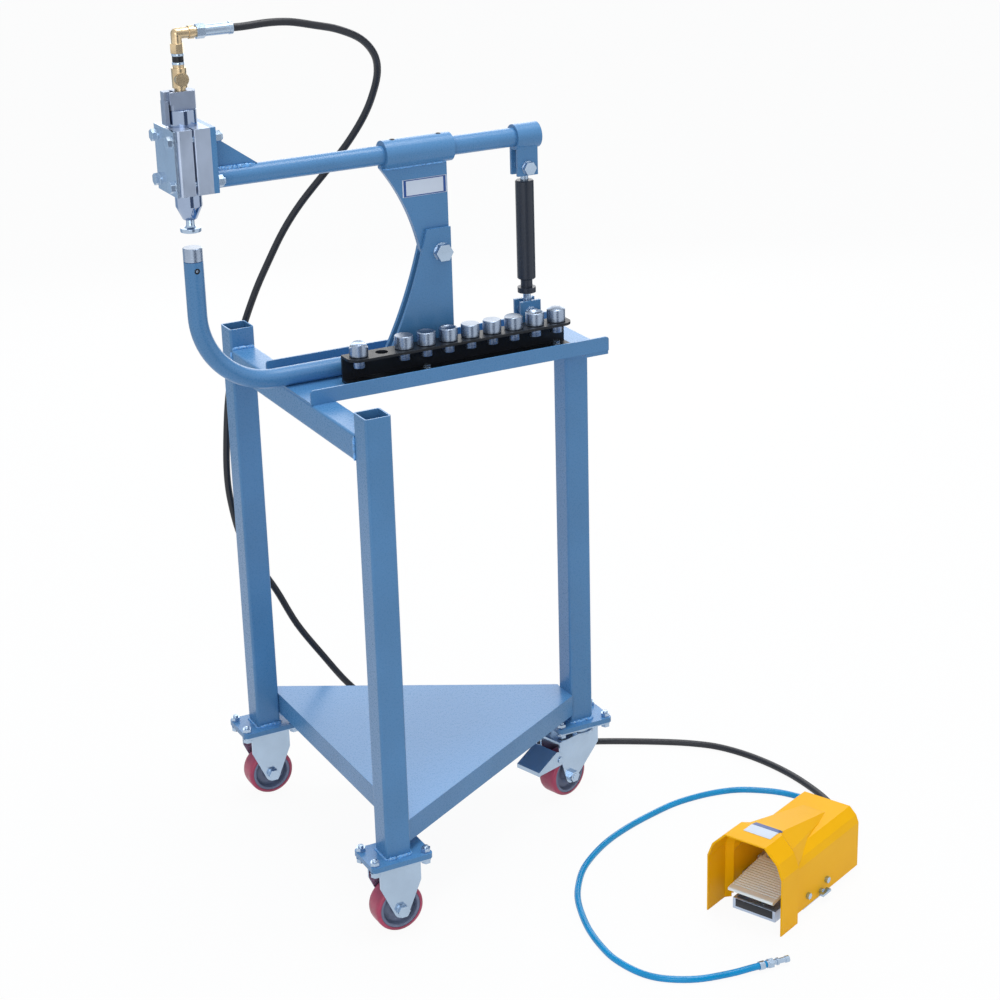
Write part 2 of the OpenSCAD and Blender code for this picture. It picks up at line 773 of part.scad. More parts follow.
// Flat-sided head on the barrel, with its inlet bore, the lever's fork and the lever's pin
module hammer_head() {
    head_w = 24;
    slot_w = 12 + 2 * run_gap;
    color(steel) on_mast() translate([-hammer_reach, 0, barrel_top]) {
        difference() {
            union() {
                intersection() {
                    cylinder(d = barrel_d, h = head_h);
                    translate([-barrel_d / 2, -head_w / 2, 0]) cube([barrel_d, head_w, head_h]);
                }
                for (side = [-1, 1]) translate([lever_x + hammer_reach - 3, side * 9 - 3, 8])
                    cube([8, 6, head_h - 8]);
            }
            translate([0, 0, -1]) cylinder(d = 10, h = head_h + 2);
            translate([-barrel_d, -slot_w / 2, -1])
                cube([barrel_d + lever_x + hammer_reach + 6 + run_gap, slot_w, head_h + 2]);
        }
        translate([lever_x + hammer_reach, 0, lever_h - barrel_top]) bar_y(4, -head_w / 2, head_w / 2);
    }
}

// Throttle lever that hangs down beside the barrel, on the pin of the head's fork
module throttle_lever() {
    color(steel) on_mast() {
        difference() {
            union() {
                translate([lever_x, 0, lever_h]) bar_y(12, -6, 6);
                translate([lever_x - 10, -6, lever_h - 4]) cube([10, 12, 13]);
            }
            translate([lever_x, 0, lever_h]) bar_y(4 + 2 * pin_fit, -20, 20);
        }
        translate([lever_x - 10, -8, clamp_top + 3]) cube([6, 16, lever_h - clamp_top - 7]);
    }
}

// Brass air regulator on the head, with its round plug and the threaded nipple above it
module air_regulator() {
    color(brass) on_mast() translate([-hammer_reach, 0, 0]) {
        translate([0, 0, head_top]) cylinder(d = 16, h = 5);
        translate([0, 0, head_top + 4]) cylinder(d = 21, h = 27);
        translate([0, 0, head_top + 16]) bar_y(19, -12.5, 0);
        translate([0, 0, head_top + 31]) cylinder(d = 16, h = 5);
        translate([0, 0, regulator_top]) cylinder(d = 15, h = elbow_low - regulator_top);
    }
}

// Brass elbow from the nipple to the hose end
module brass_elbow() {
    elbow_d = 15;
    color(brass) on_mast() translate([-hammer_reach, 0, 0]) {
        translate([0, 0, elbow_low]) hex_bar(17, 13);
        translate([0, 0, elbow_low]) cylinder(d = elbow_d, h = elbow_h - elbow_low);
        translate([0, 0, elbow_h]) {
            sphere(d = elbow_d);
            bar_x(elbow_d, 0, 28);
            bar_x(18, 17, 24);
        }
    }
}

// Swivel nut and crimped ferrule of the black hose
module hose_end() {
    nut_x = -hammer_reach + 28;
    color(zinc) on_mast() translate([0, 0, elbow_h]) {
        translate([nut_x, 0, 0]) rotate([0, 90, 0]) hex_bar(18, 12);
        bar_x(16, nut_x + 12, hose_end_x - 5);
        bar_x(17.5, hose_end_x - 5, hose_end_x);
    }
}

// Piston inside the barrel, above the die's stem
module piston() {
    color(steel) on_mast() translate([-hammer_reach, 0, shank_top + run_gap])
        cylinder(d = barrel_bore - 2 * 2 * pin_fit, h = 48);
}

// Upper die: face, stem and the collar that keeps it in the nose
module upper_die() {
    color(zinc) on_mast() translate([-hammer_reach, 0, 0]) {
        translate([0, 0, die_face]) cylinder(d = die_d, h = die_t - 1.5);
        translate([0, 0, die_face + die_t - 1.5]) cylinder(d1 = die_d, d2 = stem_d + 6, h = 1.5);
        translate([0, 0, die_face + die_t]) cylinder(d1 = stem_d + 6, d2 = stem_d, h = 3);
        translate([0, 0, die_face]) cylinder(d = stem_d, h = shank_top - die_face);
        translate([0, 0, nose_floor + run_gap]) cylinder(d = stem_d + 6, h = 4);
    }
}

// Lower rod end of the strut with its threaded rod
module strut_lower_eye() {
    color(zinc) on_mast() translate([strut_x, 0, strut_low_h]) difference() {
        union() {
            bar_y(26, -eye_w / 2, eye_w / 2);
            cylinder(d = eye_w, h = 22);
            cylinder(d = strut_rod_d, h = 115);
        }
        bar_y(strut_pin_d + 2 * pin_fit, -20, 20);
    }
}

// Black ring under the strut's sleeve, which travels on the lower rod with it
module strut_ring() {
    color(black) on_mast() translate([strut_x, 0, ring_low]) difference() {
        union() {
            cylinder(d = strut_sleeve_d, h = 8);
            cylinder(d = strut_rod_d + 6, h = sleeve_low - ring_low - run_gap);
        }
        translate([0, 0, -1]) cylinder(d = strut_rod_d + 2 * run_gap, h = sleeve_low - ring_low + 2);
    }
}

// Turning sleeve of the strut, threaded left and right
module strut_sleeve() {
    edge = 1.5;
    color(black) on_mast() translate([strut_x, 0, sleeve_low]) difference() {
        union() {
            cylinder(d1 = strut_sleeve_d - 2 * edge, d2 = strut_sleeve_d, h = edge);
            translate([0, 0, edge]) cylinder(d = strut_sleeve_d, h = strut_sleeve_l - 2 * edge);
            translate([0, 0, strut_sleeve_l - edge])
                cylinder(d1 = strut_sleeve_d, d2 = strut_sleeve_d - 2 * edge, h = edge);
        }
        translate([0, 0, -1]) cylinder(d = strut_rod_d + 2 * run_gap, h = strut_sleeve_l + 2);
    }
}

// Upper rod end of the strut, its bore opened because its link is left open
module strut_upper_eye() {
    color(zinc) on_mast() translate([strut_x, 0, strut_top_h]) difference() {
        union() {
            bar_y(22, -eye_w / 2, eye_w / 2);
            translate([0, 0, -76]) cylinder(d = strut_rod_d, h = 76);
        }
        bar_y(strut_pin_d + 2 * open_fit, -20, 20);
    }
}

// Side view of a caster fork: wide at its plate, round at the axle
module fork_side(top_low, top_high, axle_x) {
    hull() {
        translate([top_low, caster_h - fork_plate_t - 34]) square([1, 34]);
        translate([top_high - 1, caster_h - fork_plate_t - 34]) square([1, 34]);
        translate([axle_x, axle_h]) circle(13, $fn = 32);
    }
}

// Two fork sides with the axle's bore
module fork_sides(top_low, top_high, axle_x) {
    difference() {
        for (side = [-1, 1]) translate([0, side * (fork_in + fork_out) / 2, 0]) rotate([90, 0, 0])
            linear_extrude(fork_t, center = true) fork_side(top_low, top_high, axle_x);
        translate([axle_x, 0, axle_h]) bar_y(axle_d + 2 * bolt_fit, -40, 40);
    }
}

// Caster top plate under a foot plate
module caster_plate() {
    translate([0, 0, caster_h - fork_plate_t]) linear_extrude(fork_plate_t) difference() {
        round_rect(foot_plate_l - 4, foot_plate_w - 4, 6);
        for (x = [-1, 1], y = [-1, 1])
            translate([x * plate_bolt_x, y * plate_bolt_y]) circle(d = plate_bolt_d + 2 * bolt_fit);
    }
}

// The two fixed forks under the left legs
module fixed_forks() {
    color(zinc) on_floor() for (side = [-1, 1]) translate([0, side * leg_y, 0]) {
        caster_plate();
        fork_sides(8 - plate_bolt_x, plate_bolt_x - 8, 0);
    }
}

// Bolts of the three foot plates, and the axle bolts of the two fixed casters
module caster_bolts() {
    color(zinc) {
        on_floor() for (place = [[0, leg_y], [0, -leg_y], [leg_reach, 0]])
            translate([place[0], place[1], caster_h - fork_plate_t])
                for (x = [-1, 1], y = [-1, 1]) translate([x * plate_bolt_x, y * plate_bolt_y, 0])
                    bolt(plate_bolt_d, foot_plate_t + fork_plate_t, 13);
        on_floor() for (side = [-1, 1]) translate([0, side * leg_y - fork_out, axle_h])
            rotate([-90, 0, 0]) bolt(axle_d, 2 * fork_out, 17, 1);
    }
}

// Top plate of the swivel caster with its race and king pin
module swivel_plate() {
    race_d = 50;
    color(zinc) on_floor() translate([leg_reach, 0, 0]) {
        caster_plate();
        translate([0, 0, crown_h + run_gap])
            cylinder(d = race_d, h = caster_h - fork_plate_t - crown_h - run_gap);
        translate([0, 0, caster_h - fork_plate_t - 17]) cylinder(d = 12, h = 17);
    }
}

// Swivel fork with its crown and its axle bolt
module swivel_fork() {
    color(zinc) at_swivel() {
        for (side = [-1, 1]) translate([brake_hinge[0], 0, brake_hinge[1]]) {
            mirror([0, side < 0 ? 1 : 0, 0]) {
                bar_y(6, fork_out - 1, brake_out + 2);
                bar_y(11, brake_out + run_gap, brake_out + 2);
            }
        }
        difference() {
            union() {
                translate([0, 0, crown_h - 4]) linear_extrude(4) {
                    translate([-28, -fork_out]) square([90, 2 * fork_out]);
                    circle(28);
                }
                for (side = [-1, 1]) translate([0, side * (fork_in + fork_out) / 2, 0])
                    rotate([90, 0, 0]) linear_extrude(fork_t, center = true) hull() {
                        translate([-28, crown_h - 30]) square([1, 30]);
                        translate([60, crown_h - 24]) square([2, 24]);
                        translate([caster_trail, axle_h]) circle(13, $fn = 32);
                    }
            }
            translate([0, 0, crown_h - 20]) cylinder(d = 12 + 2 * pin_fit, h = 40);
            translate([caster_trail, 0, axle_h]) bar_y(axle_d + 2 * bolt_fit, -40, 40);
        }
        translate([caster_trail, -fork_out, axle_h]) rotate([-90, 0, 0])
            bolt(axle_d, 2 * fork_out, 17, 1);
    }
}

// Wheel about Y: polyurethane tread on a metal hub with a recess on each side
module wheel() {
    hub_d = wheel_d - 2 * tread_t;
    half = wheel_w / 2;
    rotate([90, 0, 0]) {
        color(red) rotate_extrude($fn = 96) difference() {
            union() {
                translate([hub_d / 2, -half + 4]) square([tread_t, wheel_w - 8]);
                translate([hub_d / 2, -half]) square([tread_t - 4, wheel_w]);
                for (side = [-1, 1]) translate([wheel_d / 2 - 4, side * (half - 4)]) circle(4);
            }
            square([hub_d, wheel_w], center = true);
        }
        color(alloy) rotate_extrude($fn = 96) {
            translate([hub_d / 2 - 5, -half + 1]) square([5, wheel_w - 2]);
            translate([axle_d / 2 + pin_fit, -5]) square([hub_d / 2 - axle_d / 2 - 3, 10]);
            translate([axle_d / 2 + pin_fit, -half - 2]) square([6, wheel_w + 4]);
        }
    }
}

module wheel_back() {
    on_floor() translate([0, leg_y, axle_h]) wheel();
}

module wheel_front() {
    on_floor() translate([0, -leg_y, axle_h]) wheel();
}

module wheel_right() {
    at_swivel() translate([caster_trail, 0, axle_h]) wheel();
}

// Brake lever over the swivel caster's wheel: a bent cap between two cheeks
module brake_lever() {
    color(zinc) at_swivel() difference() {
        union() {
            for (side = [-1, 1]) translate([0, side * (brake_in + brake_out) / 2, 0])
                rotate([90, 0, 0]) linear_extrude(brake_out - brake_in, center = true) hull() {
                    translate([brake_hinge[0], brake_hinge[1]]) circle(10, $fn = 32);
                    translate([brake_hinge[0] + 6, brake_hinge[1] + 13]) circle(3, $fn = 32);
                    translate([brake_tip - 4, 70]) circle(3, $fn = 32);
                }
            rotate([90, 0, 0]) linear_extrude(2 * brake_out, center = true) polygon([
                [brake_hinge[0] + 5, 92], [brake_hinge[0] + 8, 95], [brake_tip, 73], [brake_tip, 66],
                [brake_tip - 3, 66], [brake_tip - 3, 71]
            ]);
        }
        translate([brake_hinge[0], 0, brake_hinge[1]]) bar_y(6 + 2 * pin_fit, -40, 40);
    }
}

// Aluminium base of the foot valve, hollow under the treadle, with lugs for the guard
module valve_base() {
    front = 28;
    wall = 4;
    lug_l = 70;
    color(alloy) at_foot() {
        difference() {
            translate([front, -base_w / 2, 0]) cube([valve_back - front, base_w, 18]);
            translate([front + wall, -base_w / 2 + wall, wall])
                cube([80, base_w - 2 * wall, 20]);
        }
        for (side = [-1, 1]) {
            mirror([0, side < 0 ? 1 : 0, 0]) {
                translate([80, base_w / 2, 2])
                    cube([lug_l, base_side - base_w / 2, 16]);
                translate([80, treadle_w / 2 + run_gap, 2])
                    cube([lug_l, base_side - treadle_w / 2 - run_gap, 30]);
                translate([treadle_hinge_s - 8, treadle_w / 2 + run_gap, 18])
                    cube([16, 6, treadle_hinge_h - 10]);
            }
        }
        translate([treadle_hinge_s, 0, treadle_hinge_h])
            bar_y(6, -treadle_w / 2 - 6, treadle_w / 2 + 6);
    }
}

// Valve body behind the treadle, with its two hose ports
module valve_body() {
    color(zinc) at_foot() {
        translate([treadle_hinge_s + 14, -22, 18]) cube([valve_back - treadle_hinge_s - 28, 44, 42]);
        for (side = [-1, 1]) translate([0, side * port_side, port_h])
            bar_x(15, valve_back - 14, valve_back);
    }
}

// Cross-section of the guard with bevelled shoulders, from one place along it
module guard_slice(s, w, h, shoulder, l = 0.01) {
    translate([s, 0, 0]) rotate([90, 0, 90]) linear_extrude(l) polygon([
        [-w / 2, 0], [w / 2, 0], [w / 2, h - 1.45 * shoulder],
        [w / 2 - 0.28 * shoulder, h - 0.72 * shoulder], [w / 2 - shoulder, h],
        [-w / 2 + shoulder, h], [-w / 2 + 0.28 * shoulder, h - 0.72 * shoulder],
        [-w / 2, h - 1.45 * shoulder]
    ]);
}

// Outer or inner form of the guard, drawn in by a wall
module guard_form(wall, past) {
    mouth_w = guard_mouth_w - 2 * wall;
    body_w = guard_w - 2 * wall;
    mouth_h = guard_mouth_h - wall;
    rear_h = guard_rear_h - wall;
    guard_slice(-past, mouth_w, mouth_h, 30, flap_l - 8 + past);
    hull() {
        guard_slice(flap_l - 8.01, mouth_w, mouth_h, 30);
        guard_slice(flap_l + 2, body_w, mouth_h - 2, 30);
    }
    hull() {
        guard_slice(flap_l + 2, body_w, mouth_h - 2, 30);
        guard_slice(hood_end, hood_tip_w - 2 * wall, rear_h, 4);
    }
    guard_slice(flap_l + 1, body_w, rear_h, 16, guard_l - flap_l - 1 + past);
}

// Yellow sheet guard over the foot valve
module foot_guard() {
    color(yellow) at_foot() difference() {
        guard_form(0, 0);
        guard_form(guard_t, 1);
        translate([flap_l, -guard_w, -1]) cube([guard_l, 2 * guard_w, 7]);
    }
}

// Screws and wing screws that hold the guard to the base's lugs
module guard_screws() {
    color(zinc) at_foot() for (side = [-1, 1]) {
        for (place = [[88, 24], [142, 26]])
            translate([place[0], side * guard_w / 2, place[1]]) rotate([-side * 90, 0, 0])
                hex_bar(9, 5);
        translate([126, side * guard_w / 2, 14]) rotate([-side * 90, 0, 0]) {
            cylinder(d = 9, h = 5);
            translate([-11, -2, 4]) cube([22, 4, 8]);
        }
    }
}

// Ribbed aluminium treadle, hinged at its rear edge
module treadle() {
    thick = 6;
    ribs = 14;
    color(alloy) at_foot() translate([treadle_hinge_s, 0, treadle_hinge_h]) rotate([0, -treadle_slope, 0])
        difference() {
            union() {
                translate([-treadle_l, -treadle_w / 2, 6]) cube([treadle_l - 8, treadle_w, thick]);
                translate([-treadle_l, 0, 9]) bar_y(thick, -treadle_w / 2, treadle_w / 2);
                for (side = [-1, 1]) translate([-26, side * (treadle_w / 2 - 3) - 3, -4])
                    cube([31, 6, 12]);
            }
            for (k = [0:ribs - 1]) translate([-treadle_l + 8 + k * 5.5, -treadle_w, 6 + thick - 1])
                cube([2.5, 2 * treadle_w, 2]);
            bar_y(6 + 2 * pin_fit, -treadle_w, treadle_w);
        }
}

// Return spring under the treadle: a wire along a helix
spring_route = [
    for (i = [0:spring_turns * 8])
        [
            spring_r * cos(45 * i), spring_r * sin(45 * i),
            spring_low + spring_wire / 2 + i / (spring_turns * 8) * (spring_l - spring_wire)
        ]
];
spring_gap = min([
    for (i = [0:len(spring_route) - 7]) for (j = [i + 6:len(spring_route) - 1])
        norm(spring_route[i] - spring_route[j]) - spring_wire
]);

module treadle_spring() {
    echo(spring_gap = spring_gap);
    color(steel) at_foot() translate([spring_s, 0, 0]) hose(spring_route, spring_wire, 6);
}

// Direction of a route at one of its points
function along(p, i) = unit(p[min(i + 1, len(p) - 1)] - p[max(i - 1, 0)]);
function across(n, t) = unit(n - (n * t) * t);

// Rings of points round a route, each turned as little as possible from the last
function rings(p, r, sides) = [
    for (
        i = 0, n = across([0, 0, 1], along(p, 0));
        i < len(p);
        i = i + 1, n = i < len(p) ? across(n, along(p, i)) : n
    )
        let (m = cross(along(p, i), n))
        [for (k = [0:sides - 1]) p[i] + r * (cos(360 * k / sides) * n + sin(360 * k / sides) * m)]
];

// Round hose along a route
module hose(route, d, sides = 10) {
    turns = rings(route, d / 2, sides);
    last = len(route) - 1;
    points = [for (ring = turns) for (q = ring) q];
    walls = [
        for (i = [0:last - 1]) for (k = [0:sides - 1])
            let (a = i * sides + k, b = i * sides + (k + 1) % sides)
            for (face = [[a, b + sides, b], [a, a + sides, b + sides]]) face
    ];
    start = [[for (k = [0:sides - 1]) k]];
    end = [[for (k = [0:sides - 1]) last * sides + sides - 1 - k]];
    polyhedron(points = points, faces = concat(walls, start, end), convexity = 10);
}

// A port of the foot valve, some way out along its axis
function port(side, out) = foot_place + (valve_back + out) * foot_dir + side * port_side * foot_side
    + [0, 0, port_h];

module black_hose() {
    route = concat([black_start], black_route, [port(-1, 26), port(-1, 0)]);
    color(black) on_floor() hose(route, black_hose_d);
}

module blue_hose() {
    end = [nipple_at - 24 * nipple_dir, nipple_at];
    route = concat([port(1, 0), port(1, 26)], blue_route, end);
    color("#1E90D0") on_floor() hose(route, blue_hose_d);
}

// Hose clip and plug nipple on the blue hose's free end
module air_nipple() {
    color(zinc) on_floor() translate(nipple_at) rotate(atan2(nipple_dir[1], nipple_dir[0])) {
        difference() {
            bar_x(blue_hose_d + 3, -12, -4);
            bar_x(blue_hose_d + 2 * bolt_fit, -13, -3);
        }
        bar_x(12, 0, 3);
        translate([3, 0, 0]) rotate([0, 90, 0]) hex_bar(13, 7);
        bar_x(8, 10, 16);
        bar_x(11, 16, 19);
        bar_x(8, 19, 30);
        bar_x(10, 30, 36);
    }
}

leg_back();
leg_front();
leg_right();
crossbeam();
tray();
shelf();
anvil_tube();
pivot_cheeks();
pivot_bolts();
anvil_rack();
rack_bolts();
working_anvil();
rack_anvil(0, "groove", 7);  // anvil_saddle
rack_anvil(2, "flat", 0);  // anvil_flat_a
rack_anvil(3, "dish", 2.5);  // anvil_hollow_a
rack_anvil(4, "dish", 3.5);  // anvil_hollow_b
rack_anvil(5, "flat", 0);  // anvil_flat_b
rack_anvil(6, "flat", 0);  // anvil_flat_c
rack_anvil(7, "groove", 2);  // anvil_groove
rack_anvil(8, "dish", 5);  // anvil_cup
rack_anvil(9, "dome", 4);  // anvil_dome
arm_tube();
arm_sleeve();
arm_bolts();
rear_collar();
flange_plate();
clamp_inner();
clamp_outer();
clamp_plate();
hammer_barrel();
hammer_head();
air_regulator();
brass_elbow();
hose_end();
throttle_lever();
piston();
upper_die();
strut_lower_eye();
strut_ring();
strut_sleeve();
strut_upper_eye();
fixed_forks();
caster_bolts();
wheel_back();
wheel_front();
swivel_plate();
swivel_fork();
wheel_right();
brake_lever();
valve_base();
valve_body();
foot_guard();
guard_screws();
treadle();
treadle_spring();
black_hose();
blue_hose();
air_nipple();
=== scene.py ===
"""Dresses a pneumatic planishing hammer on its wheeled stand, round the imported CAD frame."""

import json
import math
import random

import bmesh
import bpy
from bpy.props import FloatProperty, FloatVectorProperty, IntProperty, PointerProperty
from mathutils import Matrix, Vector
from mathutils.bvhtree import BVHTree


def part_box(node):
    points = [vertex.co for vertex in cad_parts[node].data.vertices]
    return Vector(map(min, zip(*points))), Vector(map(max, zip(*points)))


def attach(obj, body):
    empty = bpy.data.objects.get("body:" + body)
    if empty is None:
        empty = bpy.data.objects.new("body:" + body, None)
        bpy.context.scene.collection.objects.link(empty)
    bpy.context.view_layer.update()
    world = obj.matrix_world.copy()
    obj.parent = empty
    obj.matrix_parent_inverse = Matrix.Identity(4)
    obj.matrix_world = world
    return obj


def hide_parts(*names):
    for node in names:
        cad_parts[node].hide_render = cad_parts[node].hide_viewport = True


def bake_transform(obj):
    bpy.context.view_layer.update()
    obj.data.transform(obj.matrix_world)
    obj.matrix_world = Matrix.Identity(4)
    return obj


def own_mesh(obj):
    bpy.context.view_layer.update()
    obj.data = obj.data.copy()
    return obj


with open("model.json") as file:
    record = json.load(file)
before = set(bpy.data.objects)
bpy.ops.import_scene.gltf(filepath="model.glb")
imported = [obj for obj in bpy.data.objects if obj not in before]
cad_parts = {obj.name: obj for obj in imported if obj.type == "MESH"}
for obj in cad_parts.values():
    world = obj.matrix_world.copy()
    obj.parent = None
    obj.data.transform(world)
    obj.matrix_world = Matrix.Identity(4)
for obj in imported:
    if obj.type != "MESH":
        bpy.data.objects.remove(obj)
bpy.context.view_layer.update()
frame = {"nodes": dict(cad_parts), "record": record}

bl_info = {
    "name": "Planishing hammer on a stand",
    "version": (1, 0, 0),
    "blender": (4, 5, 0),
    "location": "3D View > Sidebar > Hammer",
    "description": "Paints, welds, wheels, hoses and stage of a planishing hammer with a foot valve",
    "category": "Object",
}

MM = 0.001
# The stand's own zero, under the middle of its crossbeam, as a point of the frame
STAND_ZERO = Vector((-0.252, 0.140, 0.0))
MAST_Y = 15.0  # the anvil tube and the arm stand behind the tray's middle
# The legs: half the width of their square tube, and where they stand
LEG_HALF = 20.0
LEG_Y = 248.0
LEG_REACH = 450.0
LEGS = ((0, LEG_Y), (0, -LEG_Y), (LEG_REACH, 0))
CORNERS = ((-1, -1), (1, -1), (1, 1), (-1, 1))
# The foot valve: its front end on the floor, its turn, its length and its two hose ports
FOOT_AT = Vector((448.0, -503.0, 0.0))
FOOT_TURN = math.radians(24.0)
FOOT_X = Vector((math.cos(FOOT_TURN), math.sin(FOOT_TURN), 0))
FOOT_Y = Vector((-math.sin(FOOT_TURN), math.cos(FOOT_TURN), 0))
VALVE_BACK = 228.0
PORT_SIDE = 16.0
PORT_H = 30.0
UP = Vector((0, 0, 1))


def rgb(red, green, blue):
    """A display colour of 0 to 255 as the linear colour that the shaders take."""
    parts = [value / 255 for value in (red, green, blue)]
    return tuple(p / 12.92 if p <= 0.04045 else ((p + 0.055) / 1.055) ** 2.4 for p in parts)


def spot(x, y, z):
    """A point of the stand's layout in millimetres, as a point of the frame in metres."""
    return Vector((x, y, z)) * MM + STAND_ZERO


# ---------------------------------------------------------------- sizes and colours


def colour_prop(name, description, default):
    return FloatVectorProperty(
        name=name, description=description, default=default, subtype="COLOR", size=3, min=0, max=1
    )


def length_prop(name, description, default):
    return FloatProperty(
        name=name, description=description, default=default, unit="LENGTH", subtype="DISTANCE", min=0
    )


class HammerColours(bpy.types.PropertyGroup):
    """Colours of the machine's finishes"""

    paint: colour_prop("Stand paint", "Blue stove enamel on stand and arm", rgb(77, 129, 177))
    guard: colour_prop("Guard paint", "Yellow enamel on the foot guard", rgb(255, 187, 4))
    black: colour_prop("Rack paint", "Black enamel on the anvil rack", rgb(27, 30, 36))
    sleeve: colour_prop("Strut finish", "Blackened steel of the strut's sleeve", rgb(40, 47, 60))
    tread: colour_prop("Tread", "Red polyurethane of the wheels", rgb(172, 54, 90))
    hub: colour_prop("Hub", "Grey cast iron of the wheels", rgb(116, 126, 152))
    zinc: colour_prop("Zinc", "Zinc plate on bolts and forks", rgb(176, 196, 218))
    steel: colour_prop("Steel", "Turned bare steel of the anvils", rgb(162, 177, 198))
    chrome: colour_prop("Chrome", "Plated hammer barrel", rgb(156, 172, 198))
    alloy: colour_prop("Alloy", "Machined aluminium clamp blocks", rgb(190, 204, 226))
    brass: colour_prop("Brass", "Air fittings", rgb(212, 190, 154))
    satin: colour_prop("Satin steel", "Blasted head and throttle lever", rgb(156, 169, 191))
    treadle: colour_prop("Treadle", "Pale anodised treadle", rgb(240, 250, 255))
    plate: colour_prop("Plates", "Blank plates on arm and guard", rgb(206, 216, 232))
    band: colour_prop("Plate band", "Band across the blank plates", rgb(28, 76, 148))
    rubber: colour_prop("Rubber", "Black air hose", rgb(21, 25, 35))
    hose: colour_prop("Blue hose", "Blue plastic air hose", rgb(0, 144, 204))


class HammerSizes(bpy.types.PropertyGroup):
    """Sizes of the details that are added to the frame"""

    edge: length_prop("Edge rounding", "Radius of broken edges", 0.0007)
    weld: length_prop("Weld radius", "Half the width of a weld bead", 0.0026)
    ripple: length_prop("Weld ripple", "Distance between the ripples of a bead", 0.0019)
    thread: length_prop("Thread pitch", "Pitch of the threads that stand out of the nuts", 0.00125)
    hose_steps: IntProperty(
        name="Hose steps", description="Steps between two points of a hose's route", default=5, min=1
    )
    key_power: FloatProperty(
        name="Key lamp", description="Power of the large lamp overhead", default=70, unit="POWER"
    )
    fill_power: FloatProperty(
        name="Fill lamp", description="Power of the lamp on the camera's left", default=28, unit="POWER"
    )
    back_power: FloatProperty(
        name="Back lamp", description="Power of the lamp behind the machine", default=30, unit="POWER"
    )


def colours():
    return bpy.context.scene.hammer_colours


def sizes():
    return bpy.context.scene.hammer_sizes


# ---------------------------------------------------------------- materials

# Agreement of the rounded and the flat normal: at an edge, and where the face starts
EDGE_SPAN = (0.82, 0.995)
# Scale and range of the grain that breaks up the painted highlight along the edges
EDGE_GRAIN = 160.0
EDGE_HIGHLIGHT_BREAKUP = (0.35, 1.0)
PAINTED_TOP_FULL = 0.99  # a face that points up this far has the whole painted light or shade of top faces
COAT_ROUGHNESS = 0.12


class Finish:
    """Lays the nodes of one material and links them to its shader."""

    def __init__(self, name):
        self.material = bpy.data.materials.new(name)
        self.material.use_nodes = True
        self.tree = self.material.node_tree
        self.shader = self.tree.nodes["Principled BSDF"]
        self.where = self.add("TexCoord").outputs["Object"]

    def add(self, kind, settings=None, inputs=None):
        node = self.tree.nodes.new("ShaderNode" + kind)
        for key, value in (settings or {}).items():
            setattr(node, key, value)
        for key, value in (inputs or {}).items():
            self.put(node.inputs[key], value)
        return node

    def put(self, socket, value):
        if isinstance(value, bpy.types.NodeSocket):
            self.tree.links.new(value, socket)
        else:
            socket.default_value = value

    def grain(self, scale, stretch=(1, 1, 1), detail=3.0):
        moved = self.add("Mapping", None, {"Vector": self.where, "Scale": stretch})
        noise = {"Vector": moved.outputs[0], "Scale": scale, "Detail": detail}
        return self.add("TexNoise", None, noise).outputs[0]

    def spread(self, value, low, high, start=0.3, end=0.7):
        span = {"Value": value, "From Min": start, "From Max": end, "To Min": low, "To Max": high}
        return self.add("MapRange", None, span).outputs[0]

    def blend(self, factor, first, second):
        mix = self.add("Mix", {"data_type": "RGBA"})
        self.put(mix.inputs[0], factor)
        self.put(mix.inputs[6], first)
        self.put(mix.inputs[7], second)
        return mix.outputs[2]

    def edges(self, radius):
        """Normal with rounded edges, and a mask that is 1 along them."""
        rounded = self.add("Bevel", {"samples": 4}, {"Radius": radius}).outputs[0]
        flat = self.add("NewGeometry").outputs["Normal"]
        same = self.add("VectorMath", {"operation": "DOT_PRODUCT"})
        self.put(same.inputs[0], rounded)
        self.put(same.inputs[1], flat)
        return rounded, self.spread(same.outputs["Value"], 1, 0, *EDGE_SPAN)

    def relief(self, height, strength, distance, normal):
        look = {"Height": height, "Strength": strength, "Distance": distance, "Normal": normal}
        return self.add("Bump", None, look).outputs[0]


def shade(colour, amount):
    """The colour, made darker or lighter by a factor."""
    return tuple(min(1.0, part * amount) for part in colour) + (1.0,)


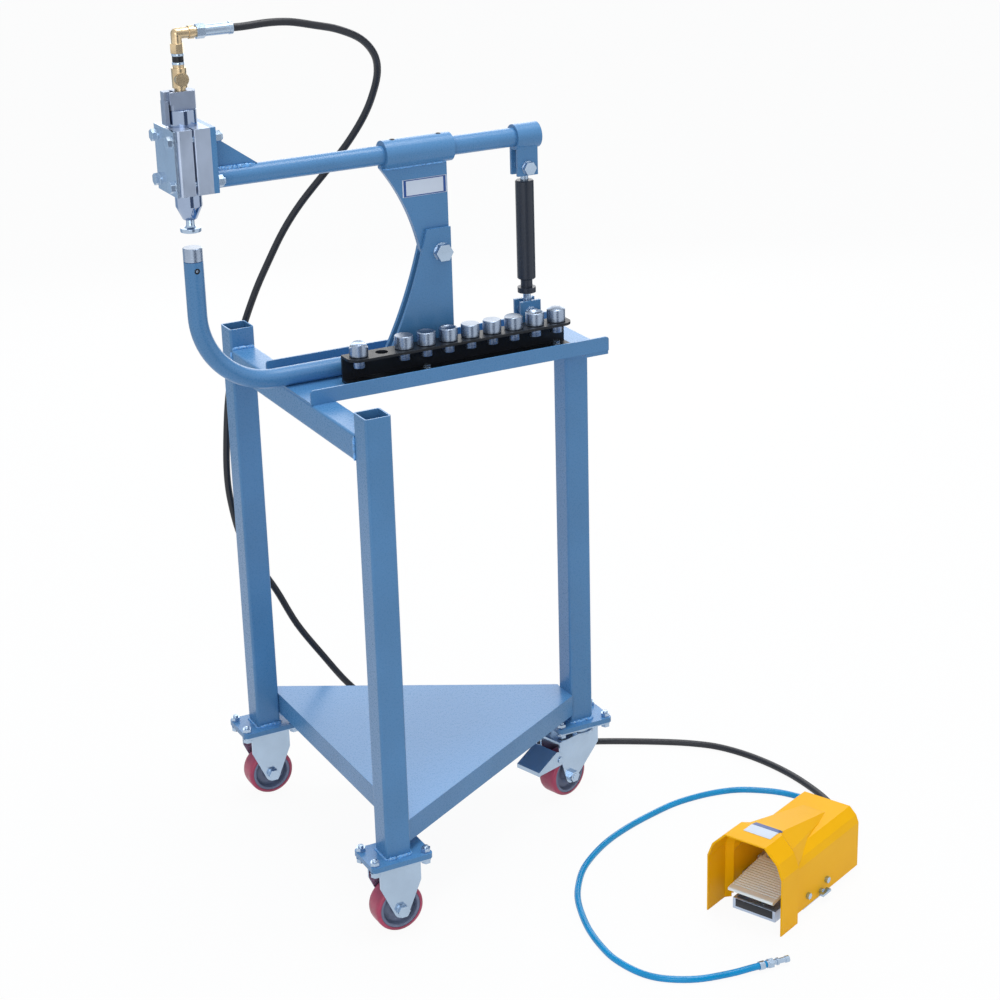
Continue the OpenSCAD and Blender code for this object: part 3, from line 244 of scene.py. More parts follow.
def metal_or_paint(
    name,
    colour,
    metallic=0.0,
    rough=(0.3, 0.4),
    tone=(0.93, 1.05),
    patch=9.0,
    fine=900.0,
    stretch=(1, 1, 1),
    bump=0.08,
    depth=0.0004,
    edge_highlight_tone=1.15,
    coat=0.0,
    specular=0.5,
    painted_top_tone=1.0,
    painted_top_from=0.8,
):
    """Solid finish: a slow drift of tone, fine grain, a painted highlight along the edges, and painted light
    or shade on top faces.
    """
    look = Finish(name)
    colour = tuple(colour)
    drift = look.spread(look.grain(patch, detail=4.0), 0, 1)
    tint = look.blend(drift, shade(colour, tone[0]), shade(colour, tone[1]))
    normal, edge = look.edges(sizes().edge)
    # Painted highlight: the edges are made lighter, broken up by grain
    edge_highlight = look.add("Math", {"operation": "MULTIPLY"})
    look.put(edge_highlight.inputs[0], edge)
    look.put(edge_highlight.inputs[1], look.spread(look.grain(EDGE_GRAIN), *EDGE_HIGHLIGHT_BREAKUP))
    tint = look.blend(edge_highlight.outputs[0], tint, shade(colour, edge_highlight_tone))
    # Painted light or shade: faces that point up get a lighter or darker tone
    if painted_top_tone != 1.0:
        split = look.add("SeparateXYZ", None, {0: look.add("NewGeometry").outputs["Normal"]})
        painted_top = look.spread(split.outputs["Z"], 0, 1, painted_top_from, PAINTED_TOP_FULL)
        tint = look.blend(painted_top, tint, shade(colour, painted_top_tone))
    grain = look.grain(fine, stretch)
    look.put(look.shader.inputs["Base Color"], tint)
    look.put(look.shader.inputs["Roughness"], look.spread(grain, *rough))
    look.put(look.shader.inputs["Normal"], look.relief(grain, bump, depth, normal))
    look.shader.inputs["Metallic"].default_value = metallic
    look.shader.inputs["Coat Weight"].default_value = coat
    look.shader.inputs["Coat Roughness"].default_value = COAT_ROUGHNESS
    look.shader.inputs["Specular IOR Level"].default_value = specular
    return look.material


def make_finishes():
    """Every finish of the machine, by name."""
    hue = colours()
    turned = (25, 25, 1800)  # fine grooves round an upright axis
    return {
        # Painted highlight: faces that point up are made lighter
        "blue_paint": metal_or_paint(
            "Blue enamel", hue.paint, rough=(0.24, 0.34), fine=520, bump=0.10, edge_highlight_tone=1.3,
            specular=0.45, painted_top_tone=1.3, painted_top_from=0.05
        ),
        # Weld beads: the blue enamel made lighter, a painted highlight on the beads
        "weld_paint_highlight": metal_or_paint(
            "Enamel on weld beads", shade(hue.paint, 1.5)[:3], rough=(0.1, 0.22), fine=900, bump=0.3,
            coat=0.7, tone=(0.8, 1.5), patch=220
        ),
        "yellow_paint": metal_or_paint(
            "Yellow enamel", hue.guard, rough=(0.28, 0.4), fine=480, bump=0.10, specular=0.09,
            tone=(0.95, 1.03), edge_highlight_tone=1.06
        ),
        "black_paint": metal_or_paint(
            "Black enamel", hue.black, rough=(0.34, 0.48), fine=600, bump=0.12, specular=0.3,
            tone=(0.8, 1.3), edge_highlight_tone=2.2
        ),
        "black_sleeve": metal_or_paint(
            "Blackened steel", hue.sleeve, metallic=0.25, rough=(0.3, 0.42), fine=1.0, stretch=turned,
            bump=0.12, depth=0.0002, tone=(0.85, 1.15), edge_highlight_tone=1.8
        ),
        "zinc_plate": metal_or_paint(
            "Bright zinc", hue.zinc, metallic=0.9, rough=(0.16, 0.26), fine=300, bump=0.03,
            tone=(0.88, 1.06), patch=14, edge_highlight_tone=1.25
        ),
        # Painted shade: the top faces are made darker
        "bare_steel": metal_or_paint(
            "Turned steel", hue.steel, metallic=0.95, rough=(0.2, 0.4), fine=1.0, stretch=turned,
            bump=0.22, depth=0.00025, tone=(0.85, 1.05), patch=30, edge_highlight_tone=1.3, painted_top_tone=0.5
        ),
        "hammer_chrome": metal_or_paint(
            "Chrome plate", hue.chrome, metallic=1.0, rough=(0.06, 0.14), fine=300, bump=0.02,
            tone=(0.92, 1.04), patch=24, edge_highlight_tone=1.15
        ),
        "satin_steel": metal_or_paint(
            "Blasted steel", hue.satin, metallic=0.8, rough=(0.34, 0.46), fine=520, bump=0.12,
            tone=(0.88, 1.06), patch=40, edge_highlight_tone=1.3
        ),
        "treadle_alloy": metal_or_paint(
            "Anodised treadle", hue.treadle, metallic=0.1, rough=(0.3, 0.42), fine=600, bump=0.06,
            tone=(0.94, 1.03), patch=26, edge_highlight_tone=1.08
        ),
        "plate_print": metal_or_paint(
            "Blank plate", hue.plate, rough=(0.3, 0.4), fine=300, bump=0.03, tone=(0.97, 1.02)
        ),
        "band_print": metal_or_paint(
            "Plate band", hue.band, rough=(0.3, 0.4), fine=300, bump=0.03, tone=(0.94, 1.05)
        ),
        "black_oxide": metal_or_paint(
            "Blackened screw", hue.black, metallic=0.4, rough=(0.3, 0.45), fine=400, bump=0.05,
            edge_highlight_tone=1.8
        ),
        "cast_alloy": metal_or_paint(
            "Milled aluminium", hue.alloy, metallic=0.8, rough=(0.3, 0.5), fine=1.0,
            stretch=(900, 900, 60), bump=0.18, depth=0.00025, tone=(0.85, 1.04), patch=18, edge_highlight_tone=1.1
        ),
        "brass": metal_or_paint(
            "Brass", hue.brass, metallic=0.95, rough=(0.22, 0.36), fine=420, bump=0.05,
            tone=(0.75, 1.1), patch=60, edge_highlight_tone=1.2
        ),
        "red_tread": metal_or_paint(
            "Red polyurethane", hue.tread, rough=(0.3, 0.5), fine=240, bump=0.15,
            tone=(0.8, 1.12), patch=45, edge_highlight_tone=1.1, specular=0.6
        ),
        "hub_iron": metal_or_paint(
            "Grey cast iron", hue.hub, metallic=0.35, rough=(0.4, 0.6), fine=700, bump=0.35,
            tone=(0.8, 1.08), patch=50, edge_highlight_tone=1.2
        ),
        "black_rubber": metal_or_paint(
            "Black rubber", hue.rubber, rough=(0.36, 0.5), fine=1500, bump=0.14,
            tone=(0.85, 1.25), patch=40, edge_highlight_tone=1.0
        ),
        "blue_hose": metal_or_paint(
            "Blue hose plastic", hue.hose, rough=(0.18, 0.3), fine=260, bump=0.05, specular=0.35,
            tone=(0.9, 1.08), patch=30, edge_highlight_tone=1.0
        ),
    }


FINISHES = {}


def finish(name):
    if not FINISHES:
        FINISHES.update(make_finishes())
    return FINISHES[name]


# ---------------------------------------------------------------- modelling steps

# Points closer than this are one: while a shape is turned, and when a piece is ended
SEAM = 1e-7
PIECE_SEAM = 1e-6
ROUND_SIDES = 8  # of a thin wire or a weld bead


def added_since(bm, before):
    return [v for v in bm.verts if v not in before]


def placed(x, y, z):
    """The place of a shape in millimetres that stands at a point of the stand's layout."""
    return Matrix.Translation(spot(x, y, z)) @ Matrix.Scale(MM, 4)


def lathe(bm, profile, matrix, steps=48, closed=False):
    """Turns a profile of (radius, height) about Z, then places it."""
    before = set(bm.verts)
    chain = [bm.verts.new((r, 0, h)) for r, h in profile]
    pairs = list(zip(chain, chain[1:])) + ([(chain[-1], chain[0])] if closed else [])
    edges = [bm.edges.new(pair) for pair in pairs]
    bmesh.ops.spin(
        bm, geom=chain + edges, cent=(0, 0, 0), axis=(0, 0, 1), dvec=(0, 0, 0),
        angle=math.tau, steps=steps, use_merge=True,
    )
    bmesh.ops.remove_doubles(bm, verts=added_since(bm, before), dist=SEAM)
    bmesh.ops.transform(bm, matrix=matrix, verts=added_since(bm, before))


def sweep(bm, points, radii, sides):
    """A closed tube along points: a circle that is extruded from ring to ring."""
    count = len(points)
    radii = radii if hasattr(radii, "__len__") else [radii] * count
    ways = [(points[min(i + 1, count - 1)] - points[max(i - 1, 0)]).normalized() for i in range(count)]
    across = ways[0].orthogonal().normalized()
    ring = bmesh.ops.create_circle(bm, cap_ends=True, segments=sides, radius=1)["verts"]
    # A dict keeps the edges in order, which a set would not
    edges = list(dict.fromkeys(e for v in ring for e in v.link_edges if e.other_vert(v) in ring))
    for i in range(count):
        across = (across - ways[i] * across.dot(ways[i])).normalized()
        up = ways[i].cross(across)
        if i:
            grown = bmesh.ops.extrude_edge_only(bm, edges=edges)["geom"]
            new = {g for g in grown if isinstance(g, bmesh.types.BMVert)}
            edges = [
                g for g in grown if isinstance(g, bmesh.types.BMEdge) and all(v in new for v in g.verts)
            ]
            ring = [
                next(e.other_vert(v) for e in v.link_edges if e.other_vert(v) in new) for v in ring
            ]
        for k, vert in enumerate(ring):
            turn = math.tau * k / sides
            vert.co = points[i] + (across * math.cos(turn) + up * math.sin(turn)) * radii[i]
    bmesh.ops.contextual_create(bm, geom=edges)


def smooth_route(route, steps):
    """Points on one smooth curve through the points of a route."""
    ends = [2 * route[0] - route[1], *route, 2 * route[-1] - route[-2]]
    made = []
    for a, b, c, d in zip(ends, ends[1:], ends[2:], ends[3:]):
        for k in range(steps):
            t = k / steps
            made.append(
                0.5
                * (2 * b + (c - a) * t + (2 * a - 5 * b + 4 * c - d) * t**2 + (3 * b - a - 3 * c + d) * t**3)
            )
    return made + [route[-1].copy()]


def as_object(name, bm):
    """The finished shape as an object of the scene."""
    mesh = bpy.data.meshes.new(name)
    bm.to_mesh(mesh)
    bm.free()
    obj = bpy.data.objects.new(name, mesh)
    bpy.context.scene.collection.objects.link(obj)
    return obj


def piece(name, bm, look, body, replaces=(), angle=38.0):
    """Ends a shape: closes seams, turns faces outwards, smooths it and ties it to the frame."""
    bmesh.ops.remove_doubles(bm, verts=bm.verts, dist=PIECE_SEAM)
    bmesh.ops.recalc_face_normals(bm, faces=bm.faces)
    obj = as_object(name, bm)
    obj.data.materials.append(finish(look))
    obj.data.shade_smooth()
    obj.data.set_sharp_from_angle(angle=math.radians(angle))
    if body:
        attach(obj, body)
    if replaces:
        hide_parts(*replaces)
    return obj


# ---------------------------------------------------------------- stage

CAMERA_AT = Vector((-1.4572, -2.8210, 1.8210))
CAMERA_AZIMUTH = math.radians(-27.26)
CAMERA_ELEVATION = math.radians(21.14)
CAMERA_ROLL = math.radians(1.59)
CAMERA_LENS = 82.55
FLOOR_SIZE = 60.0
FLOOR_TONE = (0.86, 0.87, 0.88, 1)
FLOOR_ROUGHNESS = 0.8
FLOOR_SPECULAR = 0.1
SKY_TONE = (0.90, 0.95, 1.0, 1)
WHITE_SHARE = 0.94  # of plain white over the floor, as the camera sees it
AMBIENT = 0.6
# Area lamps: name, place, width, the property that holds its power
LAMPS = (
    ("Key", (0.5, 0.0, 4.4), 2.0, "key_power"),
    ("Fill", (-2.2, -3.0, 1.8), 2.0, "fill_power"),
    ("Back", (1.35, 2.7, 1.75), 2.6, "back_power"),
)
LAMP_AIM = Vector((0.05, 0.0, 0.6))
# Cards that glow but light nothing and show only as mirrored in the metal, painted reflections: turn from
# the camera in degrees, width, colour
CARDS = (
    (24, 0.95, (0.11, 0.14, 0.20)),
    (-121, 1.3, (0.45, 0.56, 0.68)),
    (126, 1.0, (0.10, 0.14, 0.20)),
)
CARD_RING = Vector((-0.15, 0.1, 0.0))
CARD_AWAY = 1.8
CARD_H = 2.4


def white_to_camera(tree, shader_socket, share):
    """Mixes white over a shader for the rays that show the background; the caller links the white."""
    path = tree.nodes.new("ShaderNodeLightPath")
    seen = path.outputs["Is Camera Ray"]
    for ray in ("Is Glossy Ray", "Is Transmission Ray"):
        either = tree.nodes.new("ShaderNodeMath")
        either.operation = "MAXIMUM"
        tree.links.new(seen, either.inputs[0])
        tree.links.new(path.outputs[ray], either.inputs[1])
        seen = either.outputs[0]
    amount = tree.nodes.new("ShaderNodeMath")
    amount.operation = "MULTIPLY"
    amount.inputs[1].default_value = share
    tree.links.new(seen, amount.inputs[0])
    mix = tree.nodes.new("ShaderNodeMixShader")
    tree.links.new(amount.outputs[0], mix.inputs[0])
    tree.links.new(shader_socket, mix.inputs[1])
    return mix


class HAMMER_OT_stage(bpy.types.Operator):
    """Sets the camera, the pale floor and the soft lamps"""

    bl_idname = "hammer.stage"
    bl_label = "Stage"

    def execute(self, context):
        scene = context.scene
        scene.view_settings.view_transform = "Standard"
        self.set_camera(scene)
        self.lay_floor()
        self.stand_cards()
        self.light_world(scene)
        self.hang_lamps(scene)
        return {"FINISHED"}

    def set_camera(self, scene):
        flat = math.cos(CAMERA_ELEVATION)
        look = Vector(
            (-math.sin(CAMERA_AZIMUTH) * flat, math.cos(CAMERA_AZIMUTH) * flat, -math.sin(CAMERA_ELEVATION))
        )
        right = look.cross(UP).normalized()
        down = look.cross(right)
        c, s = math.cos(CAMERA_ROLL), math.sin(CAMERA_ROLL)
        across = c * right + s * down
        below = c * down - s * right
        data = bpy.data.cameras.new("Camera")
        data.sensor_width = 36.0
        data.lens = CAMERA_LENS
        camera = bpy.data.objects.new("Camera", data)
        turn = Matrix((across, -below, -look)).transposed().to_4x4()
        camera.matrix_world = Matrix.Translation(CAMERA_AT) @ turn
        scene.collection.objects.link(camera)
        scene.camera = camera

    def lay_floor(self):
        bm = bmesh.new()
        bmesh.ops.create_grid(bm, x_segments=1, y_segments=1, size=FLOOR_SIZE / 2)
        floor = as_object("Floor", bm)
        material = bpy.data.materials.new("Pale floor")
        material.use_nodes = True
        tree = material.node_tree
        shader = tree.nodes["Principled BSDF"]
        shader.inputs["Base Color"].default_value = FLOOR_TONE
        shader.inputs["Roughness"].default_value = FLOOR_ROUGHNESS
        shader.inputs["Specular IOR Level"].default_value = FLOOR_SPECULAR
        mix = white_to_camera(tree, shader.outputs[0], WHITE_SHARE)
        white = tree.nodes.new("ShaderNodeEmission")
        tree.links.new(white.outputs[0], mix.inputs[2])
        tree.links.new(mix.outputs[0], tree.nodes["Material Output"].inputs[0])
        floor.data.materials.append(material)

    def stand_cards(self):
        toward_camera = math.atan2(CAMERA_AT.y - CARD_RING.y, CAMERA_AT.x - CARD_RING.x)
        for turn, width, colour in CARDS:
            angle = toward_camera + math.radians(turn)
            out = Vector((math.cos(angle), math.sin(angle), 0))
            bm = bmesh.new()
            bmesh.ops.create_grid(bm, x_segments=1, y_segments=1, size=0.5)
            bmesh.ops.scale(bm, vec=(width, CARD_H, 1), verts=bm.verts)
            place = Matrix((UP.cross(out), UP, out)).transposed().to_4x4()
            at = Matrix.Translation(CARD_RING + out * CARD_AWAY + UP * CARD_H / 2)
            bmesh.ops.transform(bm, matrix=at @ place, verts=bm.verts)
            card = as_object("Card", bm)
            material = bpy.data.materials.new("Card")
            material.use_nodes = True
            tree = material.node_tree
            glow = tree.nodes.new("ShaderNodeEmission")
            glow.inputs[0].default_value = (*colour, 1)
            tree.links.new(glow.outputs[0], tree.nodes["Material Output"].inputs[0])
            card.data.materials.append(material)
            # Painted reflection: the card is hidden from every ray but glossy reflections
            for ray in ("camera", "diffuse", "transmission", "volume_scatter", "shadow"):
                setattr(card, f"visible_{ray}", False)

    def light_world(self, scene):
        world = bpy.data.worlds.new("Studio")
        scene.world = world
        world.use_nodes = True
        tree = world.node_tree
        soft = tree.nodes["Background"]
        soft.inputs[0].default_value = SKY_TONE
        soft.inputs[1].default_value = AMBIENT
        mix = white_to_camera(tree, soft.outputs[0], 1.0)
        white = tree.nodes.new("ShaderNodeBackground")
        white.inputs[0].default_value = (1, 1, 1, 1)
        tree.links.new(white.outputs[0], mix.inputs[2])
        tree.links.new(mix.outputs[0], tree.nodes["World Output"].inputs[0])

    def hang_lamps(self, scene):
        for name, place, size, power in LAMPS:
            data = bpy.data.lights.new(name, "AREA")
            data.size = size
            data.energy = getattr(sizes(), power)
            lamp = bpy.data.objects.new(name, data)
            lamp.visible_camera = False
            lamp.location = place
            aim = LAMP_AIM - Vector(place)
            lamp.rotation_mode = "QUATERNION"
            lamp.rotation_quaternion = aim.to_track_quat("-Z", "Y")
            scene.collection.objects.link(lamp)


# ---------------------------------------------------------------- hoses

NIPPLE_AT = Vector((408.0, -622.0, 8.0))
NIPPLE_WAY = Vector((0.995, -0.1, 0.0))
# How far a hose runs straight at a port, and at the plug nipple
PORT_RUN = 26
NIPPLE_RUN = 24
# Routes in millimetres from the stand's own zero, the same points as the CAD solids have
BLACK_ROUTE = [
    (-65, 15, 1301),
    (-46, 15, 1301), (-10, 17, 1302), (24, 21, 1299), (62, 27, 1290), (104, 40, 1278), (146, 57, 1258),
    (176, 79, 1230), (190, 101, 1199), (192, 125, 1163), (187, 150, 1126), (171, 175, 1085),
    (148, 203, 1042), (112, 231, 988), (86, 248, 943), (63, 263, 892), (44, 275, 846), (24, 285, 790),
    (7, 291, 735), (-6, 293, 676), (-14, 293, 610), (-18, 292, 550), (-15, 291, 500), (-3, 290, 440),
    (20, 288, 390), (50, 284, 335), (80, 278, 270), (120, 270, 206), (157, 262, 151), (196, 253, 108),
    (240, 240, 72), (300, 219, 42), (368, 190, 20), (436, 160, 9), (500, 131, 6), (556, 102, 6),
    (606, 72, 6), (650, 43, 6), (684, 17, 6), (715, -15, 6), (739, -58, 6), (756, -108, 6),
    (766, -160, 6), (769, -210, 6), (767, -258, 6), (758, -300, 7), (742, -338, 10), (720, -369, 17),
]
BLUE_ROUTE = [
    (702, -364, 20), (724, -342, 9), (740, -312, 5), (746, -278, 5), (741, -246, 5), (728, -219, 5),
    (708, -194, 5), (673, -167, 5), (642, -154, 5), (600, -147, 5), (550, -148, 5), (500, -159, 5),
    (450, -174, 5), (402, -194, 5), (360, -219, 5), (320, -251, 5), (290, -287, 5), (266, -326, 5),
    (248, -372, 5), (236, -416, 5), (230, -460, 5), (230, -500, 5), (242, -545, 5), (264, -576, 5),
    (304, -601, 5), (352, -614, 6),
]
BLACK_HOSE_D = 0.011
BLUE_HOSE_D = 0.010
HOSE_SIDES = 14


def at_foot(along, across, height):
    """A point of the foot valve as a point of the stand's layout, both in millimetres."""
    return FOOT_AT + FOOT_X * along + FOOT_Y * across + UP * height


def port(side, out=0):
    """A port of the foot valve, or a point some way out along its axis."""
    return at_foot(VALVE_BACK + out, side * PORT_SIDE, PORT_H)


class HAMMER_OT_hoses(bpy.types.Operator):
    """Lays the black hose to the hammer and the blue hose of the air supply"""

    bl_idname = "hammer.hoses"
    bl_label = "Hoses"

    def execute(self, context):
        steps = sizes().hose_steps
        black = [Vector(p) for p in BLACK_ROUTE] + [port(-1, PORT_RUN), port(-1)]
        black = smooth_route([spot(*p) for p in black], steps)
        tube = self.tube("black_hose_run", black, BLACK_HOSE_D, "black_rubber", "black_hose")
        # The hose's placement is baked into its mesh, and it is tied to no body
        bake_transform(tube)
        end = [NIPPLE_AT - NIPPLE_RUN * NIPPLE_WAY, NIPPLE_AT]
        blue = [port(1), port(1, PORT_RUN)] + [Vector(p) for p in BLUE_ROUTE] + end
        blue = smooth_route([spot(*p) for p in blue], steps)
        tube = self.tube("blue_hose_run", blue, BLUE_HOSE_D, "blue_hose", "blue_hose")
        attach(tube, "stand")
        return {"FINISHED"}

    def tube(self, name, points, diameter, look, node):
        bm = bmesh.new()
        sweep(bm, points, diameter / 2, HOSE_SIDES)
        return piece(name, bm, look, None, replaces=[node])

    def length(self, points):
        return round(sum((b - a).length for a, b in zip(points, points[1:])), 3)


# ---------------------------------------------------------------- treadle spring

SPRING_S = 60.0  # from the valve's front end
SPRING_R = 8.0
SPRING_LOW = 4.0
SPRING_L = 33.5
SPRING_WIRE = 2.2  # thickness of the wire
SPRING_TURNS = 7
SPRING_STEPS = 24


class HAMMER_OT_spring(bpy.types.Operator):
    """Winds the return spring under the treadle, as one fixed coil"""

    bl_idname = "hammer.spring"
    bl_label = "Treadle spring"

    def execute(self, context):
        low = SPRING_LOW + SPRING_WIRE / 2
        rise = SPRING_L - SPRING_WIRE
        route = []
        for i in range(SPRING_TURNS * SPRING_STEPS + 1):
            turn = i / SPRING_STEPS
            # The first and the last turn lie flat on their neighbours
            climb = (min(turn, 1) + max(turn - SPRING_TURNS + 1, 0)) * SPRING_WIRE
            open_turns = min(max(turn - 1, 0), SPRING_TURNS - 2)
            climb += open_turns / (SPRING_TURNS - 2) * (rise - 2 * SPRING_WIRE)
            side = math.tau * turn
            along = SPRING_S + SPRING_R * math.cos(side)
            route.append(spot(*at_foot(along, SPRING_R * math.sin(side), low + climb)))
        bm = bmesh.new()
        sweep(bm, route, SPRING_WIRE / 2 * MM, ROUND_SIDES)
        wire = piece("treadle_spring_coil", bm, "bare_steel", "stand", ["treadle_spring"])
        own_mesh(wire)
        return {"FINISHED"}


# ---------------------------------------------------------------- finishes of the frame

# Solids whose finish differs from the one of their material slot
OWN_FINISH = {
    "hammer_head": "satin_steel",
    "throttle_lever": "satin_steel",
    "treadle": "treadle_alloy",
}


class HAMMER_OT_finishes(bpy.types.Operator):
    """Gives every solid of the frame its finish"""

    bl_idname = "hammer.finishes"
    bl_label = "Finishes"

    def execute(self, context):
        for part in frame["record"]["subparts"]:
            mesh = frame["nodes"][part["node"]].data
            mesh.materials.clear()
            mesh.materials.append(finish(OWN_FINISH.get(part["node"], part["material_slot"])))
        return {"FINISHED"}


# ---------------------------------------------------------------- wheels

CASTER_TURN = math.radians(197.0)  # how the swivel caster stands at rest
# Profiles of (radius, place along the axle) in millimetres
TREAD_PROFILE = [
    (32.0, -17.0), (34.0, -17.0), (36.6, -15.8), (37.7, -13.2), (38.0, -8.0), (38.0, 8.0),
    (37.7, 13.2), (36.6, 15.8), (34.0, 17.0), (32.0, 17.0),
]
HUB_PROFILE = [
    (32.0, -16.2), (31.0, -16.8), (28.2, -16.8), (27.2, -16.0), (26.2, -9.0), (24.6, -6.2),
    (21.0, -5.2), (13.6, -5.2), (12.2, -6.6), (11.6, -13.0), (11.0, -14.2), (9.6, -18.6), (5.2, -18.8),
    (5.2, 18.8), (9.6, 18.6), (11.0, 14.2), (11.6, 13.0), (12.2, 6.6), (13.6, 5.2), (21.0, 5.2),
    (24.6, 6.2), (26.2, 9.0), (27.2, 16.0), (28.2, 16.8), (31.0, 16.8), (32.0, 16.2),
]


class HAMMER_OT_wheels(bpy.types.Operator):
    """Turns the three wheels: a soft tread on a cast hub"""

    bl_idname = "hammer.wheels"
    bl_label = "Wheels"

    def execute(self, context):
        for node in ("wheel_back", "wheel_front", "wheel_right"):
            low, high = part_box(node)
            turn = CASTER_TURN if node == "wheel_right" else 0.0
            at = Matrix.Translation((low + high) / 2)
            at = at @ Matrix.Rotation(turn, 4, "Z") @ Matrix.Rotation(math.pi / 2, 4, "X")
            for part, profile, look in (
                ("tread", TREAD_PROFILE, "red_tread"),
                ("hub", HUB_PROFILE, "hub_iron"),
            ):
                bm = bmesh.new()
                lathe(bm, [(r * MM, h * MM) for r, h in profile], at, steps=72, closed=True)
                obj = piece(f"{node}_{part}", bm, look, node, angle=50)
                if part == "tread":
                    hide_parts(node)
        return {"FINISHED"}


# ---------------------------------------------------------------- hammer

HAMMER_X = -146.0
# Heights above the floor, in millimetres, and profiles of (radius, height)
ARM_H = 1096.0
NOSE_END = 1044.0
NOSE_SHOULDER = 1063.0
CLAMP_LOW = 1084.0
BARREL_TOP = 1199.0
DIE_FACE = 1026.0
STEM_TOP = 1080.0
BARREL_PROFILE = [
    (6.1, NOSE_END + 0.6), (6.7, NOSE_END), (9.7, NOSE_END), (10.5, NOSE_END + 0.7),
    (18.5, NOSE_SHOULDER - 1.1), (18.9, NOSE_SHOULDER - 0.2), (19.0, NOSE_SHOULDER + 0.8),
    (19.0, CLAMP_LOW), (20.0, CLAMP_LOW + 0.2), (20.0, BARREL_TOP - 0.9), (19.6, BARREL_TOP - 0.2),
    (19.0, BARREL_TOP), (11.0, BARREL_TOP), (11.0, NOSE_END + 14), (6.1, NOSE_END + 14),
]
DIE_PROFILE = [
    (0.0, DIE_FACE), (14.2, DIE_FACE), (14.8, DIE_FACE + 0.3), (15.0, DIE_FACE + 0.8),
    (15.0, DIE_FACE + 5.0), (14.7, DIE_FACE + 5.5), (14.2, DIE_FACE + 5.7), (9.6, DIE_FACE + 6.0),
    (7.6, DIE_FACE + 7.2), (6.5, DIE_FACE + 8.8), (6.0, DIE_FACE + 10.5), (6.0, NOSE_END + 14.3),
    (9.0, NOSE_END + 14.3), (9.0, NOSE_END + 18.3), (6.0, NOSE_END + 18.3), (6.0, STEM_TOP),
    (0.0, STEM_TOP),
]
# The nipple's profiles start from its lower end
NIPPLE_LOW = 1259.0
NIPPLE_COLLARS = [
    [(7.4, 0.3), (8.5, 0.5), (8.6, 0.9), (8.6, 3.4), (8.3, 3.8), (7.4, 4.0)],
    [(7.4, 11.8), (8.2, 12.0), (8.5, 12.5), (8.5, 15.2), (8.2, 15.6), (7.4, 15.7)],
]
NIPPLE_WAIST = [(7.4, 3.8), (7.9, 4.0), (7.9, 11.9), (7.4, 12.1)]
# Bolt ends that stand out of their nuts: where the nuts end, and each bolt's length and radius
PLATE_BOLT_X, PLATE_BOLT_Y = 41.0, 25.0
PLATE_NUT_TOP = 132.4
PLATE_BOLT = (3.0, 4.0)
CLAMP_NUT_X = -105.0
CLAMP_BOLT_Y, CLAMP_BOLT_Z = 30.5, 31.0
CLAMP_MID = 1130.0
CLAMP_BOLT = (3.0, 5.0)
THREAD_DEPTH = 0.32
# A bolt's tip: its chamfer's start before the bolt's length and end past it, and its depth
TIP_FROM, TIP_TO, TIP_IN = 0.3, 0.15, 0.6


def thread_end(bm, at, length, radius):
    """Ridges round the end of a bolt, and its chamfered tip."""
    pitch = sizes().thread / MM
    profile = []
    for i in range(int(length / pitch)):
        profile += [(radius, i * pitch), (radius + THREAD_DEPTH, (i + 0.5) * pitch)]
    tip = length + TIP_TO
    profile += [(radius, length - TIP_FROM), (radius - TIP_IN, tip), (0.0, tip)]
    lathe(bm, profile, at, steps=20)


class HAMMER_OT_hammer(bpy.types.Operator):
    """Turns the hammer's barrel, its upper die and the air nipple, and cuts the bolts' threads"""

    bl_idname = "hammer.hammer"
    bl_label = "Barrel and die"

    def execute(self, context):
        for node, profile, look, body in (
            ("hammer_barrel", BARREL_PROFILE, "hammer_chrome", "arm"),
            ("upper_die", DIE_PROFILE, "zinc_plate", "upper_die"),
        ):
            bm = bmesh.new()
            closed = node == "hammer_barrel"
            lathe(bm, profile, placed(HAMMER_X, MAST_Y, 0), steps=96, closed=closed)
            piece(f"{node}_turned", bm, look, body, replaces=[node], angle=24)
        self.nipple()
        self.bolt_ends()
        return {"FINISHED"}

    def nipple(self):
        """Plated nipple between the air regulator and the elbow."""
        at = placed(HAMMER_X, MAST_Y, NIPPLE_LOW)
        bm = bmesh.new()
        for profile in NIPPLE_COLLARS:
            lathe(bm, profile, at, steps=40)
        piece("nipple_collars", bm, "zinc_plate", "arm")
        bm = bmesh.new()
        lathe(bm, NIPPLE_WAIST, at, steps=40)
        piece("nipple_waist", bm, "black_oxide", "arm")

    def bolt_ends(self):
        """Threads of the bolts in the foot plates and behind the arm's flange."""
        bm = bmesh.new()
        for x, y in LEGS:
            for sx, sy in CORNERS:
                at = placed(x + sx * PLATE_BOLT_X, y + sy * PLATE_BOLT_Y, PLATE_NUT_TOP)
                thread_end(bm, at, *PLATE_BOLT)
        piece("plate_bolt_ends", bm, "zinc_plate", "stand")
        bm = bmesh.new()
        for sy, sz in CORNERS:
            at = placed(CLAMP_NUT_X, MAST_Y + sy * CLAMP_BOLT_Y, CLAMP_MID + sz * CLAMP_BOLT_Z)
            thread_end(bm, at @ Matrix.Rotation(math.pi / 2, 4, "Y"), *CLAMP_BOLT)
        piece("clamp_bolt_ends", bm, "zinc_plate", "arm")


# ---------------------------------------------------------------- screws and plates

